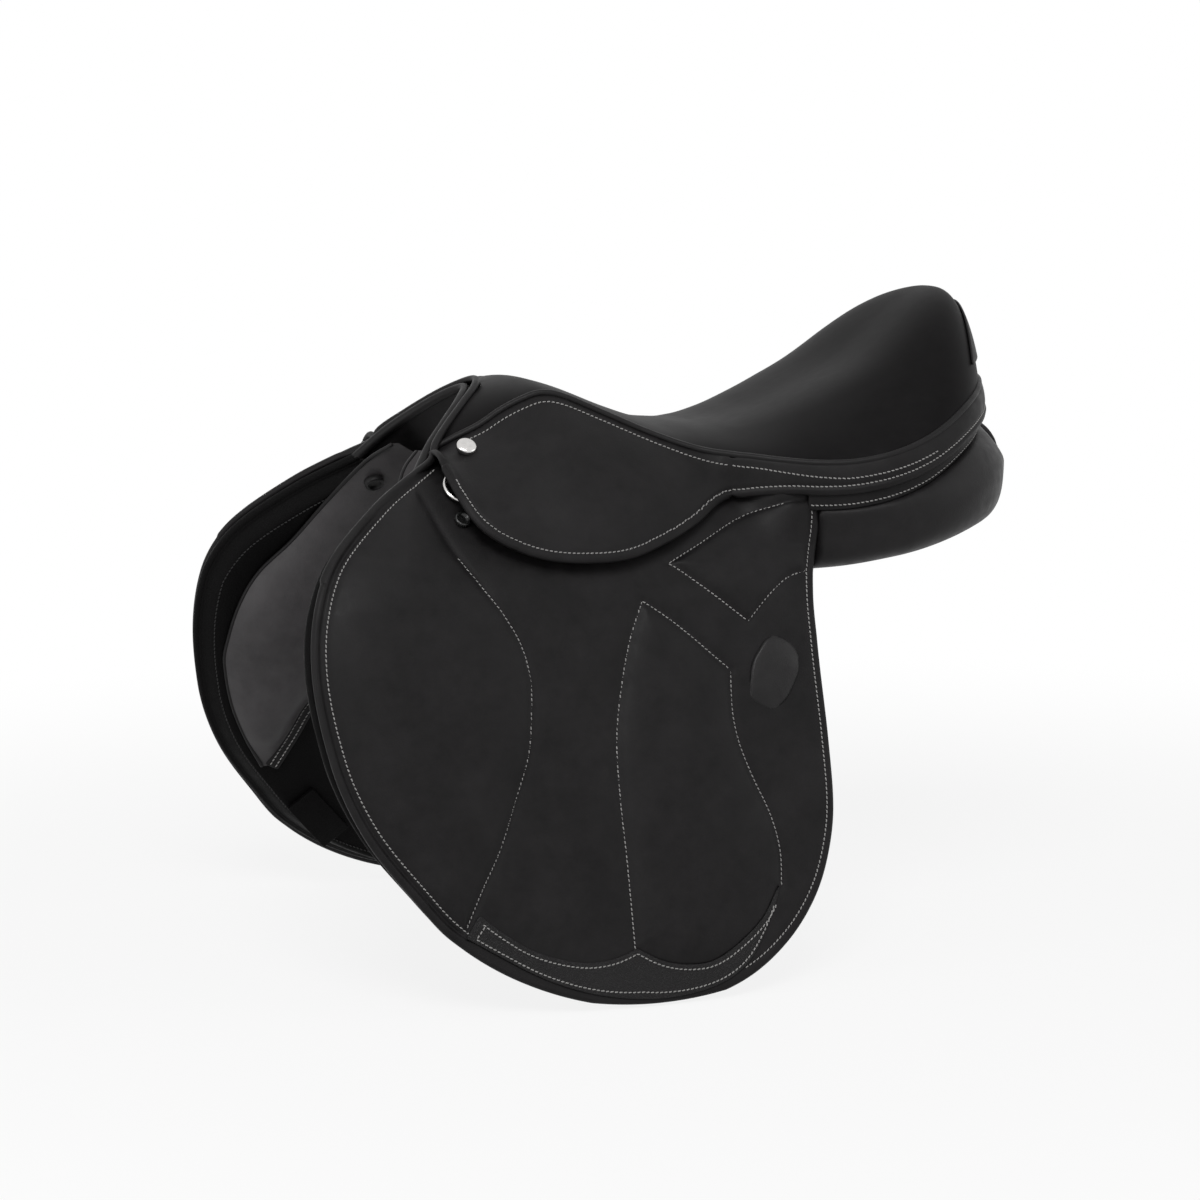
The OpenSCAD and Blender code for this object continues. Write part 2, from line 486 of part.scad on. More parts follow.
module crescent_patch() {
    ks = [for (i = [0:24]) between(0.245, 0.85, i / 24)];
    function grid(d) = [for (k = ks) [for (s = [crescent_top_shares, crescent_low_shares])
        side_pt(flap_x + flap_w * k, flap_drop * smooth(s, k), d)]];
    color(black_grain) sheet(grid(gap + patch_t), grid(gap));
}
module badge_patch() color(black_grain) on_side(flap_x + 0.902 * flap_w, -0.197 * flap_drop, gap)
    rotate([-90, 0, 0]) linear_extrude(patch_t)
    polygon([for (p = badge_shares) badge_r * [p[0], -p[1]]]);

// Sweat flaps, panels and blocks
sweat_scale = 0.965;
module sweat_flap() {
    zs = [for (j = [0:24]) flap_row(between(flap_k(0.62 * arch_h), 0.05, j / 24))];
    function low(z) = z < 0 ? sweat_scale * z : z;
    function rear(z) = between(min(flap_rear(z) - flap_t, flap_x + flap_w * 0.985), head_x + head_l,
        min(max((z / arch_h - 0.27) / 0.15, 0), 1));
    function ends(z, d) = [side_pt(flap_front(z) + gap, low(z), d), side_pt(rear(z), low(z), d)];
    color(black_grain) sheet([for (z = zs) ends(z, -sweat_depth)], [for (z = zs) ends(z, -sweat_depth -
        sweat_t)]);
}
panel_d = sweat_depth + sweat_t + 3 * gap;
function panel_thick(u, z) = panel_t * (0.3 + 0.7 * (1 - (2 * u - 1) ^ 4))
    * (z > 0.4 * arch_h ? between(1, 0.5, min((z / arch_h - 0.4) / 0.35, 1)) : 1);
function panel_at(u, z) = between(along_flap(panel_front_shares, z), along_flap(panel_back_shares, z), u);
module panel_front() color(black_soft) {
    zs = [for (j = [0:20]) flap_drop * between(0.424, -0.566, j / 20)];
    us = [for (c = [0:10]) c / 10];
    sheet([for (z = zs) [for (u = us) side_pt(panel_at(u, z), z, -panel_d)]],
        [for (z = zs) [for (u = us) side_pt(panel_at(u, z), z, -panel_d - panel_thick(u, z))]]);
}
module panel_rear() {
    t0 = seat_t(flap_x + 1.03 * flap_w + 4.2 * gap);
    t1 = 1 + (panel_reach - 6 * gap) / seat_l;
    function ring(t) = let (w = max(seat_w(t - panel_reach / seat_l), gullet_half_w + panel_end_w),
        a = t > 0.9 ? sqrt(max(1 - ((t - 0.9) / (t1 - 0.9)) ^ 8, 0.05)) : 1,
        drop = t > 0.92 ? panel_end_w * ((t - 0.92) / (t1 - 0.92)) ^ 1.5 : 0,
        top = band_low(min(t, 1)) - gusset_h + 2 * gap - drop,
        low = panel_lift * smooth(panel_low_shares, t),
        m = (top + low) / 2, h = a * (top - low) / 2, g = gullet_half_w, c = (g + w) / 2, e = w - g)
        [for (p = [[g, 0.75], [g + 0.08 * e, 0.95], [c, 1], [w - 0.12 * e, 0.96], [w - 0.03 * e, 0.7],
            [w + 0.02 * e, 0.2], [w, -0.35], [w - 0.07 * e, -0.75], [w - 0.2 * e, -0.96], [c, -1],
            [g + 0.15 * e, -0.8], [g, -0.4], [g - 0.02 * e, 0.2]]) [seat_x(t), p[0], m + h * p[1]]];
    color(black_soft) loft([for (i = [0:18]) ring(between(t0, t1, sin(90 * i / 18)))]);
}
module knee_block() {
    zs = [for (j = [0:10]) flap_drop * between(-0.08, -0.6, j / 10)];
    thick = sweat_depth - flap_t - 2 * gap;
    function grid(d, share) = [for (j = [0:10]) [for (c = [0:6]) let (z = zs[j], a = flap_front(z) + 3
        * flap_t,
        b = a + flap_w * 0.13 * (1 - (j / 5 - 1) ^ 4 / 2))
        side_pt(between(a, b, c / 6), z, d - share * thick * 0.5 * ((c / 3 - 1) ^ 4 + (j / 5 - 1) ^ 4)
            / 2)]];
    color(black) sheet(grid(-flap_t - gap, 1), grid(-sweat_depth + gap, 0));
}

// Girth straps hang in the flat part of the side, so their local frame is one plane
strap_x = head_x + head_l + strap_pitch / 2 + 0.85 * strap_w;
strap_top_z = -0.1 * flap_drop;
strap_d = flap_t + guard_t + 3 * gap;
module on_straps(k) {
    translate(side_pt(strap_x + (k - 1.5) * strap_pitch, 0, 0)) rotate([lean_deg, 0, 0])
        translate([0, 0, strap_top_z / cos(lean_deg)]) children();
}
module girth_web() color(web) side_strip(head_x + head_l + 2 * gap, strap_x + strap_pitch, 0.5 * arch_h,
    strap_top_z - strap_w, -strap_d - strap_t - gap, -strap_d - strap_t - gap - strap_t / 2);
module girth_strap(k) color(black) on_straps(k) difference() {
    translate([-strap_w / 2, -strap_d - strap_t, strap_w - strap_l]) cube([strap_w, strap_t, strap_l]);
    for (j = [1:hole_n]) translate([0, -strap_d + strap_t, strap_w - strap_l + j * hole_pitch])
        rotate([90, 0, 0])
        cylinder(r = hole_r, h = 3 * strap_t);
}
module buckle_guard() color(black) on_straps(1) translate([0, 0, -strap_w]) {
    post = guard_t;
    inner = strap_w / 2 + gap;
    translate([-inner - 2 * post, -strap_d + gap, -guard_h]) cube([guard_w, guard_t, guard_h]);
    for (x = [-inner - post, inner]) translate([x, -strap_d - strap_t - gap, -guard_h * 0.7])
        cube([post, strap_t + 2 * gap, strap_w / 2]);
    translate([-inner - post, -strap_d - strap_t - gap - guard_t, -guard_h * 0.7])
        cube([2 * inner + 2 * post, guard_t, strap_w / 2]);
}

// Stirrup bars: plate behind the flap, post through its notch, bar in front, catch on a pin at the open end
bar_x = seat_x(0.113);
bar_z = skirt_low_z + 0.55 * skirt_h;
bar_d = flap_t + gap;
lug_l = bar_h;
module on_bar() on_side(bar_x, bar_z) children();
module stirrup_bar() color(steel) on_bar() {
    translate([0, -2 * flap_t + gap, -1.4 * bar_h])
        cube([bar_l + lug_l, flap_t - 2 * gap, 2.8 * bar_h]);
    translate([0, -flap_t - 2 * gap, -bar_h / 2]) cube([lug_l, flap_t + bar_d + bar_t + 2 * gap, bar_h]);
    translate([0, bar_d, -bar_h / 2 + bar_t / 2]) cube([bar_l - lug_l, bar_t, bar_h - bar_t]);
    for (e = [-1, 1]) translate([0, bar_d + bar_t / 2, e * (bar_h - bar_t) / 2]) rotate([0, 90, 0])
        cylinder(d = bar_t, h = bar_l - lug_l);
    difference() {
        translate([bar_l - lug_l - bar_t, bar_d, -bar_h / 2]) cube([lug_l + bar_t, bar_t / 2 - gap / 2,
            bar_h]);
        translate([bar_l - lug_l / 2, bar_d - bar_t, 0]) rotate([-90, 0, 0]) cylinder(r = pin_r, h = 3
            * bar_t);
    }
}
module bar_catch() color(steel) on_bar() difference() {
    translate([bar_l - lug_l / 2, bar_d + bar_t / 2 + gap / 2, 0]) rotate([-90, 0, 0]) {
        cylinder(d = lug_l - 2 * gap, h = bar_t / 2 - gap / 2);
        translate([0, -bar_h / 2 + gap, 0]) cube([catch_l, bar_h - 2 * gap, bar_t / 2 - gap / 2]);
    }
    translate([bar_l - lug_l / 2, bar_d - bar_t, 0]) rotate([-90, 0, 0]) cylinder(r = pin_r + gap / 8,
        h = 3 * bar_t);
}
module catch_pins() color(silver) both() on_bar() translate([bar_l - lug_l / 2, bar_d, 0]) rotate([-90,
    0, 0])
    cylinder(r = pin_r, h = bar_t + gap);
module tree_rivets() color(silver) both() on_bar() for (x = [2 * lug_l, bar_l - lug_l])
    translate([x, -flap_t - gap, 0]) rotate([-90, 0, 0]) cylinder(d = bar_h, h = flap_t / 2);

// Small fittings
module nail(r, h) rotate_extrude() polygon([[0, 0], [r, 0], [r, h * 0.4], [r * 0.86, h * 0.75], [r *
    0.6, h * 0.95],
    [0, h]]);
nail_k = 0.32;
nail_v = 0.16;
module skirt_nails() color(silver) both() {
    n = skirt_n(skirt_ends(nail_k));
    translate(skirt_pt(nail_k, nail_v, skirt_t * 0.55)) rotate([-atan2(n[0], n[1]), 0, 0]) nail(nail_r,
        skirt_t * 0.7);
}
module flap_studs() color(black_grain) both() on_side(flap_x + 0.327 * flap_w, dee_z - 1.6 * dee_r, gap)
    rotate([-90, 0, 0]) nail(stud_r, flap_t * 0.6);
eyelet_z = 0.66 * arch_h;
module pocket_eyelets() color(black_grain) both() on_side(panel_at(0.06, eyelet_z), eyelet_z,
    -panel_d - panel_thick(0.09, eyelet_z) - gap) rotate([90, 0, 0]) nail(eyelet_r, flap_t * 0.6);
keeper_tilt = 41;
module pad_keepers() color(black) both() on_side(flap_x + 0.275 * flap_w, -0.748 * flap_drop, -sweat_depth
    - sweat_t - 0.75 * gap)
    rotate([0, -keeper_tilt, 0]) {
    post = sweat_t / 2;
    translate([-keeper_w / 2, -2 * post, -keeper_l / 2]) cube([keeper_w, post, keeper_l]);
    for (z = [-keeper_l / 2, keeper_l / 2 - 4 * post]) translate([-keeper_w / 2, -post - gap / 2, z])
        cube([keeper_w, post + gap / 2, 4 * post]);
}
dee_x = seat_x(0) + 0.6 * dee_r;
dee_z = skirt_low_z + 0.64 * skirt_h;
chape_r = wire_r + gap * 0.75 + chape_t;
dee_d = chape_r + gap;
module dee_ring() color(silver) on_side(dee_x, dee_z, dee_d) {
    translate([0, 0, -dee_r]) cylinder(r = wire_r, h = 2 * dee_r);
    rotate([90, 0, 0]) rotate([0, 0, 90]) rotate_extrude(angle = 180) translate([dee_r, 0]) circle(r =
        wire_r);
    for (e = [-1, 1]) translate([0, 0, e * dee_r]) sphere(r = wire_r);
}
module dee_chapes() color(black) both() on_side(dee_x, dee_z, dee_d) difference() {
    union() {
        translate([0, 0, -dee_r / 2]) cylinder(r = chape_r, h = dee_r);
        translate([0, -chape_r, -dee_r / 2]) cube([2 * dee_r, chape_t, dee_r]);
    }
    translate([0, 0, -dee_r]) cylinder(r = wire_r + gap * 0.75, h = 2 * dee_r);
}

tree_shell();
head_plate();
gullet_plate();
left() tree_point();  // tree_point_left
tree_point();  // tree_point_right
left() spring_rail();  // spring_rail_left
spring_rail();  // spring_rail_right
tree_rivets();
left() girth_web();  // girth_web_left
girth_web();  // girth_web_right
seat_foam();
seat_cover();
seat_welt();
pommel_welt();
gullet_lining();
left() skirt_top();  // skirt_top_left
skirt_top();  // skirt_top_right
cantle_band();
cantle_strip();
gusset_band();
left() panel_front();  // panel_front_left
panel_front();  // panel_front_right
left() panel_rear();  // panel_rear_left
panel_rear();  // panel_rear_right
left() sweat_flap();  // sweat_flap_left
sweat_flap();  // sweat_flap_right
left() knee_block();  // knee_block_left
knee_block();  // knee_block_right
left() flap_top();  // flap_top_left
flap_top();  // flap_top_right
skirt_nails();
dee_chapes();
pocket_eyelets();
flap_studs();
left() stirrup_bar();  // stirrup_bar_left
stirrup_bar();  // stirrup_bar_right
catch_pins();
pad_keepers();
left() flap();  // flap_left
flap();  // flap_right
left() knee_pad();  // knee_pad_left
knee_pad();  // knee_pad_right
left() thigh_pad();  // thigh_pad_left
thigh_pad();  // thigh_pad_right
left() crescent_patch();  // crescent_patch_left
crescent_patch();  // crescent_patch_right
left() badge_patch();  // badge_patch_left
badge_patch();  // badge_patch_right
left() skirt();  // skirt_left
skirt();  // skirt_right
left() bar_catch();  // bar_catch_left
bar_catch();  // bar_catch_right
left() dee_ring();  // dee_ring_left
dee_ring();  // dee_ring_right
left() girth_strap(1);  // girth_strap_left_1
left() girth_strap(2);  // girth_strap_left_2
girth_strap(1);  // girth_strap_right_1
girth_strap(2);  // girth_strap_right_2
left() buckle_guard();  // buckle_guard_left
buckle_guard();  // buckle_guard_right
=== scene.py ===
# %% [markdown]
# # A jumping saddle
# A close-contact jumping saddle in black leather, seen from its near side. The CAD model is loaded first,
# as a fixed frame that says where each piece is and how the flaps, skirts, catches and straps move. Every
# piece made here is a mesh in the same coordinates, so it takes its place with no fitting. The pieces are
# worked out in millimetres, as a saddler would measure them, and turned into metres when the mesh is made.

# %% Load the frame
import json
import math

import bmesh
import bpy
import numpy as np
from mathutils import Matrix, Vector

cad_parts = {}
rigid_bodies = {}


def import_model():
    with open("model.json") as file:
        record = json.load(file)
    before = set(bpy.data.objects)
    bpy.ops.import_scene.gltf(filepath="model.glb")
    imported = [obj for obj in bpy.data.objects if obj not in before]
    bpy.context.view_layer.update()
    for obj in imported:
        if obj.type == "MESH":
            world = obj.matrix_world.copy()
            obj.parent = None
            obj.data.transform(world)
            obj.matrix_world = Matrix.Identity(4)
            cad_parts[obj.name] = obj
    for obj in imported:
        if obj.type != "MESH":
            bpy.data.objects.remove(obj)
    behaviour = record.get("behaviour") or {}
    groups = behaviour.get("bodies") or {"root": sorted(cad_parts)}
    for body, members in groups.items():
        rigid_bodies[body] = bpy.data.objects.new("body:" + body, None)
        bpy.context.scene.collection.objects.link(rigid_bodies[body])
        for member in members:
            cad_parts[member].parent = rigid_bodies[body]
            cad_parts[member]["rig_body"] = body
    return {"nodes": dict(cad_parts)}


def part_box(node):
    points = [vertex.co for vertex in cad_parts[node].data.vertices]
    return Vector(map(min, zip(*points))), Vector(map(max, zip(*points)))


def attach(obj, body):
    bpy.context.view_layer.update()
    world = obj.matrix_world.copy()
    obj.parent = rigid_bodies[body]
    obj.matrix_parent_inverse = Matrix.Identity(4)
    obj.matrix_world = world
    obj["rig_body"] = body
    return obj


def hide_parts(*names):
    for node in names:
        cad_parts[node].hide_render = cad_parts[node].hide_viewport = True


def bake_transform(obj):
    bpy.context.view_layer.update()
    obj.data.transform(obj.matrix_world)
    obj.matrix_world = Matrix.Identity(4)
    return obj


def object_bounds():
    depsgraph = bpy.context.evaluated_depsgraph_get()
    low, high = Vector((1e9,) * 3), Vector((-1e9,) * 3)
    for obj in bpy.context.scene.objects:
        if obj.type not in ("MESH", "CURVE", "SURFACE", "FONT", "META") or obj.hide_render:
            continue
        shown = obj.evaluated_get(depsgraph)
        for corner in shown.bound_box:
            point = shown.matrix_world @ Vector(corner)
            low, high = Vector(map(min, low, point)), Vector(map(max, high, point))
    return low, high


for left_over in list(bpy.data.objects):
    bpy.data.objects.remove(left_over)
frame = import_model()
cad_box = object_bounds()
scene = bpy.context.scene
ROOT = "saddle_body"
MM = 0.001
SIDES = (("left", -1), ("right", 1))

# %% [markdown]
# The camera comes first, because every later choice is judged through it. It stands at the near side, a
# little towards the pommel and a little above the seat's level, and it uses a long lens, which keeps the
# far flap almost as large as the near one.

# %% Camera
CAMERA_AZIMUTH = math.radians(-21.25)
CAMERA_ELEVATION = math.radians(8.12)
CAMERA_DISTANCE = 2.401
CAMERA_TARGET = Vector((-0.0551, 0.0, -0.0188))
LENS_MM = 101.34
SENSOR_MM = 36.0
VIEW_REACH = 50

towards_camera = Vector((
    math.sin(CAMERA_AZIMUTH) * math.cos(CAMERA_ELEVATION),
    -math.cos(CAMERA_AZIMUTH) * math.cos(CAMERA_ELEVATION),
    math.sin(CAMERA_ELEVATION)))
camera = bpy.data.objects.new("camera", bpy.data.cameras.new("camera"))
camera.data.lens = LENS_MM
camera.data.sensor_width = SENSOR_MM
camera.data.clip_end = VIEW_REACH
camera.location = CAMERA_TARGET + CAMERA_DISTANCE * towards_camera
camera.rotation_euler = towards_camera.to_track_quat("Z", "Y").to_euler()
scene.collection.objects.link(camera)
scene.camera = camera
scene.view_settings.view_transform = "Standard"
print("camera at", [round(c, 3) for c in camera.location])

# %% [markdown]
# The studio is white all round. The world shows white to the camera and to reflections, and lights the
# leather more gently than that, so that black leather stays black. Three large soft lamps give the broad
# sheen along the seat and the edges, and a small low one lights the off side. The floor lies under the
# lowest edge of the flaps and keeps a soft shadow.

# %% Studio
WORLD_LIGHT = 0.26
FLOOR_SIZE = 14.0
FLOOR_WHITE = 0.86
FLOOR_GLOW = (0.86, 1.0)
FLOOR_SHADOW_REACH = (0.45, 1.3)
FLOOR_GAP = 0.0015


def put(tree, kind, inputs=None, **settings):
    """A new node with its settings, its plain values and its links."""
    made = tree.nodes.new(kind)
    for key, value in settings.items():
        setattr(made, key, value)
    for key, value in (inputs or {}).items():
        if isinstance(value, bpy.types.NodeSocket):
            tree.links.new(value, made.inputs[key])
        else:
            made.inputs[key].default_value = value
    return made


def math_node(tree, operation, a, b):
    return put(tree, "ShaderNodeMath", {0: a, 1: b}, operation=operation).outputs[0]


def seen_directly(tree):
    """1 for a ray from the camera, or one that comes by way of a reflection or through glass."""
    path = put(tree, "ShaderNodeLightPath").outputs
    shiny = math_node(tree, "MAXIMUM", path["Is Glossy Ray"], path["Is Transmission Ray"])
    return math_node(tree, "MAXIMUM", path["Is Camera Ray"], shiny)


world = bpy.data.worlds.new("studio")
scene.world = world
world.use_nodes = True
sky = world.node_tree
sky.nodes.clear()
strength = put(sky, "ShaderNodeMapRange", {"Value": seen_directly(sky), "To Min": WORLD_LIGHT, "To Max": 1.0})
backdrop = put(sky, "ShaderNodeBackground", {"Color": (1, 1, 1, 1), "Strength": strength.outputs[0]})
put(sky, "ShaderNodeOutputWorld", {"Surface": backdrop.outputs[0]})

floor_finish = bpy.data.materials.new("pale_floor")
floor_finish.use_nodes = True
floor_tree = floor_finish.node_tree
floor_tree.nodes.clear()
matt = put(floor_tree, "ShaderNodeBsdfDiffuse", {"Color": (FLOOR_WHITE, FLOOR_WHITE, FLOOR_WHITE, 1)})
glow = put(floor_tree, "ShaderNodeEmission", {"Color": (1, 1, 1, 1), "Strength": 1.0})
floor_place = put(floor_tree, "ShaderNodeTexCoord").outputs["Object"]
away = put(floor_tree, "ShaderNodeVectorMath", {0: floor_place}, operation="LENGTH").outputs["Value"]
floor_glow = put(floor_tree, "ShaderNodeMapRange", {
    "Value": away, "From Min": FLOOR_SHADOW_REACH[0], "From Max": FLOOR_SHADOW_REACH[1],
    "To Min": FLOOR_GLOW[0], "To Max": FLOOR_GLOW[1]}, interpolation_type="SMOOTHSTEP").outputs[0]
share = math_node(floor_tree, "MULTIPLY", seen_directly(floor_tree), floor_glow)
both = put(floor_tree, "ShaderNodeMixShader", {0: share, 1: matt.outputs[0], 2: glow.outputs[0]})
put(floor_tree, "ShaderNodeOutputMaterial", {"Surface": both.outputs[0]})

bpy.ops.mesh.primitive_plane_add(size=FLOOR_SIZE, location=(0, 0, cad_box[0].z - FLOOR_GAP))
floor = bpy.context.object
floor.name = "floor"
floor.data.materials.append(floor_finish)
print("studio ready, floor at", round(floor.location.z, 4))

# %% Lamps


def soft_lamp(name, place, size, watts):
    """A square area lamp that faces the middle of the saddle."""
    lamp = bpy.data.objects.new(name, bpy.data.lights.new(name, "AREA"))
    lamp.data.size = size
    lamp.data.energy = watts
    lamp.location = place
    lamp.rotation_euler = (Vector(place) - CAMERA_TARGET).to_track_quat("Z", "Y").to_euler()
    scene.collection.objects.link(lamp)


soft_lamp("key", (-0.9, -1.9, 2.0), 1.2, 39)
soft_lamp("rear_fill", (1.8, -1.4, 0.9), 1.2, 6)
soft_lamp("front_fill", (-2.4, -0.7, 0.3), 1.0, 11)
soft_lamp("off_fill", (0.2, 2.2, 0.06), 0.5, 9)

# %% [markdown]
# Leather is the main finish. Waxed calf is almost smooth: its colour is mottled in patches a few
# centimetres wide, it has fine pores, and its gloss changes with the handling. That belongs in one node
# group, which every leather here uses with its own values. Pebbled leather adds a raised grain about a
# millimetre and a half wide.

# %% Node groups for leather


def new_group(name, inputs, outputs):
    """A shader node group with float inputs (name, value), a vector input, and float outputs."""
    group = bpy.data.node_groups.new(name, "ShaderNodeTree")
    group.interface.new_socket("Vector", in_out="INPUT", socket_type="NodeSocketVector")
    for title, value in inputs:
        group.interface.new_socket(title, in_out="INPUT", socket_type="NodeSocketFloat").default_value = value
    for title in outputs:
        group.interface.new_socket(title, in_out="OUTPUT", socket_type="NodeSocketFloat")
    return group, put(group, "NodeGroupInput"), put(group, "NodeGroupOutput")


def noise(tree, vector, scale, detail, roughness=0.55):
    return put(tree, "ShaderNodeTexNoise", {"Vector": vector, "Scale": scale, "Detail": detail,
                                            "Roughness": roughness}).outputs["Fac"]


def weighed(tree, a, share_a, b, share_b):
    """The sum of two values, each by its share."""
    return math_node(tree, "ADD", math_node(tree, "MULTIPLY", a, share_a),
                     math_node(tree, "MULTIPLY", b, share_b))


def calf_group():
    """Mottling, handling marks and pores of smooth leather."""
    group, given, result = new_group("calf_skin", [("Mottle", 26.0), ("Pores", 900.0)],
                                     ["Shade", "Gloss", "Height"])
    vector, mottle, pore_scale = [given.outputs[title] for title in ("Vector", "Mottle", "Pores")]
    patches = noise(group, vector, mottle, 4.0, 0.6)
    clouds = noise(group, vector, math_node(group, "MULTIPLY", mottle, 4.3), 3.0)
    pores = put(group, "ShaderNodeTexVoronoi", {"Vector": vector, "Scale": pore_scale}).outputs["Distance"]
    creases = noise(group, vector, math_node(group, "MULTIPLY", pore_scale, 0.35), 4.0, 0.7)
    shade = weighed(group, patches, 0.65, clouds, 0.35)
    spread = put(group, "ShaderNodeMapRange", {"Value": shade, "From Min": 0.33, "From Max": 0.67})
    group.links.new(spread.outputs[0], result.inputs["Shade"])
    group.links.new(clouds, result.inputs["Gloss"])
    group.links.new(weighed(group, pores, 0.5, creases, 0.9), result.inputs["Height"])
    return group


def pebble_group():
    """Raised cells of grained leather, with darker valleys between them."""
    group, given, result = new_group("pebble_grain", [("Cells", 640.0)], ["Shade", "Height"])
    vector = given.outputs["Vector"]
    wobble = put(group, "ShaderNodeTexNoise", {"Vector": vector, "Scale": 260.0}).outputs["Color"]
    bent = put(group, "ShaderNodeVectorMath", {0: wobble, "Scale": 0.0016}, operation="SCALE").outputs[0]
    moved = put(group, "ShaderNodeVectorMath", {0: vector, 1: bent}, operation="ADD").outputs[0]
    cells = put(group, "ShaderNodeTexVoronoi", {"Vector": moved, "Scale": given.outputs["Cells"]},
                feature="DISTANCE_TO_EDGE").outputs["Distance"]
    rise = put(group, "ShaderNodeMapRange", {"Value": cells, "From Min": 0.0, "From Max": 0.22},
               interpolation_type="SMOOTHSTEP").outputs[0]
    group.links.new(rise, result.inputs["Shade"])
    group.links.new(rise, result.inputs["Height"])
    return group


CALF = calf_group()
PEBBLE = pebble_group()
print("groups:", CALF.name, PEBBLE.name)

# %% [markdown]
# Each finish is a Principled shader whose colour, roughness and bump come from the groups. The colours are
# two near-blacks that the mottling mixes. Most are the leather's own, without light, but the front panels'
# leather is made lighter as a painted highlight, and the seat's and the sweat flaps' leather darker as
# painted shade. The specular level is the same all over a surface, so it is set on the shader itself.

# %% Finishes
FINISHES = {}
LEATHER_TINT = 0.9


def start_finish(name, specular, metallic=0.0, tint=1.0):
    """A new material with its shader, and the place on the object that its patterns follow."""
    material = bpy.data.materials.new(name)
    material.use_nodes = True
    tree = material.node_tree
    tree.nodes.clear()
    shader = put(tree, "ShaderNodeBsdfPrincipled", {"Specular IOR Level": specular, "Metallic": metallic,
                                                    "Specular Tint": (tint, tint, tint, 1)})
    put(tree, "ShaderNodeOutputMaterial", {"Surface": shader.outputs[0]})
    place = put(tree, "ShaderNodeTexCoord").outputs["Object"]
    FINISHES[name] = material
    return tree, shader, place


def use_group(tree, group, vector, **values):
    made = put(tree, "ShaderNodeGroup", node_tree=group)
    tree.links.new(vector, made.inputs["Vector"])
    for key, value in values.items():
        made.inputs[key].default_value = value
    return made.outputs


def grey(level, warm=0.0):
    """A near-neutral colour, a little warmer or cooler than grey."""
    return (level * (1 + warm), level, level * (1 - warm), 1.0)


def dyed(level):
    """Black leather dye, faintly violet."""
    return (level * 1.07, level, level * 1.04, 1.0)


def two_tone(tree, shade, dark, light):
    mixed = put(tree, "ShaderNodeMix", {"Factor": shade}, data_type="RGBA")
    mixed.inputs["A"].default_value = dark
    mixed.inputs["B"].default_value = light
    return mixed.outputs["Result"]


def link_bump(tree, shader, height, distance_mm, strength):
    bump = put(tree, "ShaderNodeBump", {"Height": height, "Distance": distance_mm * MM, "Strength": strength})
    tree.links.new(bump.outputs[0], shader.inputs["Normal"])


def leather(name, dark, light, rough, specular, pebbles=0.0, bump=0.35, uneven=0.07):
    """Calf, with a share of pebble grain."""
    tree, shader, place = start_finish(name, specular, tint=LEATHER_TINT)
    skin = use_group(tree, CALF, place)
    shade, height = skin["Shade"], skin["Height"]
    if pebbles:
        grain = use_group(tree, PEBBLE, place)
        shade = math_node(tree, "MULTIPLY", shade, put(tree, "ShaderNodeMapRange", {
            "Value": grain["Shade"], "To Min": 1 - pebbles, "To Max": 1.0}).outputs[0])
        height = weighed(tree, height, 0.3, grain["Height"], pebbles)
    tree.links.new(two_tone(tree, shade, dyed(dark), dyed(light)), shader.inputs["Base Color"])
    gloss = put(tree, "ShaderNodeMapRange", {"Value": skin["Gloss"], "From Min": 0.3, "From Max": 0.7,
                                             "To Min": rough - uneven, "To Max": rough + uneven})
    tree.links.new(gloss.outputs[0], shader.inputs["Roughness"])
    link_bump(tree, shader, height, 0.25, bump)


leather("leather", 0.0048, 0.0125, 0.52, specular=0.145)
# The seat's leather is darker than the flaps': painted shade on the seat's top. Its mottling is the leather's
# own.
leather("seat_leather", 0.0052, 0.0086, 0.50, specular=0.05, bump=0.06, uneven=0.015)
leather("panel_leather", 0.0080, 0.0150, 0.48, specular=0.18)
# The front panels' leather is several times lighter than the rear panels': a painted highlight on their
# faces.
leather("front_panel_leather_painted_highlight", 0.0280, 0.0500, 0.46, specular=0.26)
# The sweat flaps' leather is much darker than the rest: painted shade behind the flap. Its pebble grain is
# the leather's own.
leather("sweat_leather", 0.0014, 0.0034, 0.54, pebbles=0.6, specular=0.06, bump=0.7)
leather("grained_leather", 0.0050, 0.0130, 0.46, pebbles=0.85, specular=0.22, bump=1.0)
leather("edge_leather", 0.0055, 0.0095, 0.46, specular=0.18)
leather("badge_leather", 0.0085, 0.0140, 0.40, specular=0.24)
print("leathers:", sorted(FINISHES))

# %% [markdown]
# The thread is waxed grey polyester, and it has to stand out from the leather as a row of light dashes. The
# metal pieces are polished nickel, satin steel and black enamel. The tree is moulded plastic, the girth web
# is woven, and the seat's core is foam. Each has its own small irregularity, because a flat colour looks
# like no real surface.

# %% Thread, metals and hidden stuffs


def speckled(name, dark, light, rough, scale, metallic=0.0, specular=0.5, bump=0.15, stretch=(1, 1, 1)):
    """A finish whose colour and gloss vary by a fine noise, which may be drawn out along one axis."""
    tree, shader, place = start_finish(name, specular, metallic)
    vector = put(tree, "ShaderNodeVectorMath", {0: place, 1: stretch}, operation="MULTIPLY").outputs[0]
    spots = noise(tree, vector, scale, 4.0)
    tree.links.new(two_tone(tree, spots, dark, light), shader.inputs["Base Color"])
    gloss = put(tree, "ShaderNodeMapRange", {"Value": spots, "To Min": rough - 0.08, "To Max": rough + 0.08})
    tree.links.new(gloss.outputs[0], shader.inputs["Roughness"])
    link_bump(tree, shader, spots, 0.1, bump)


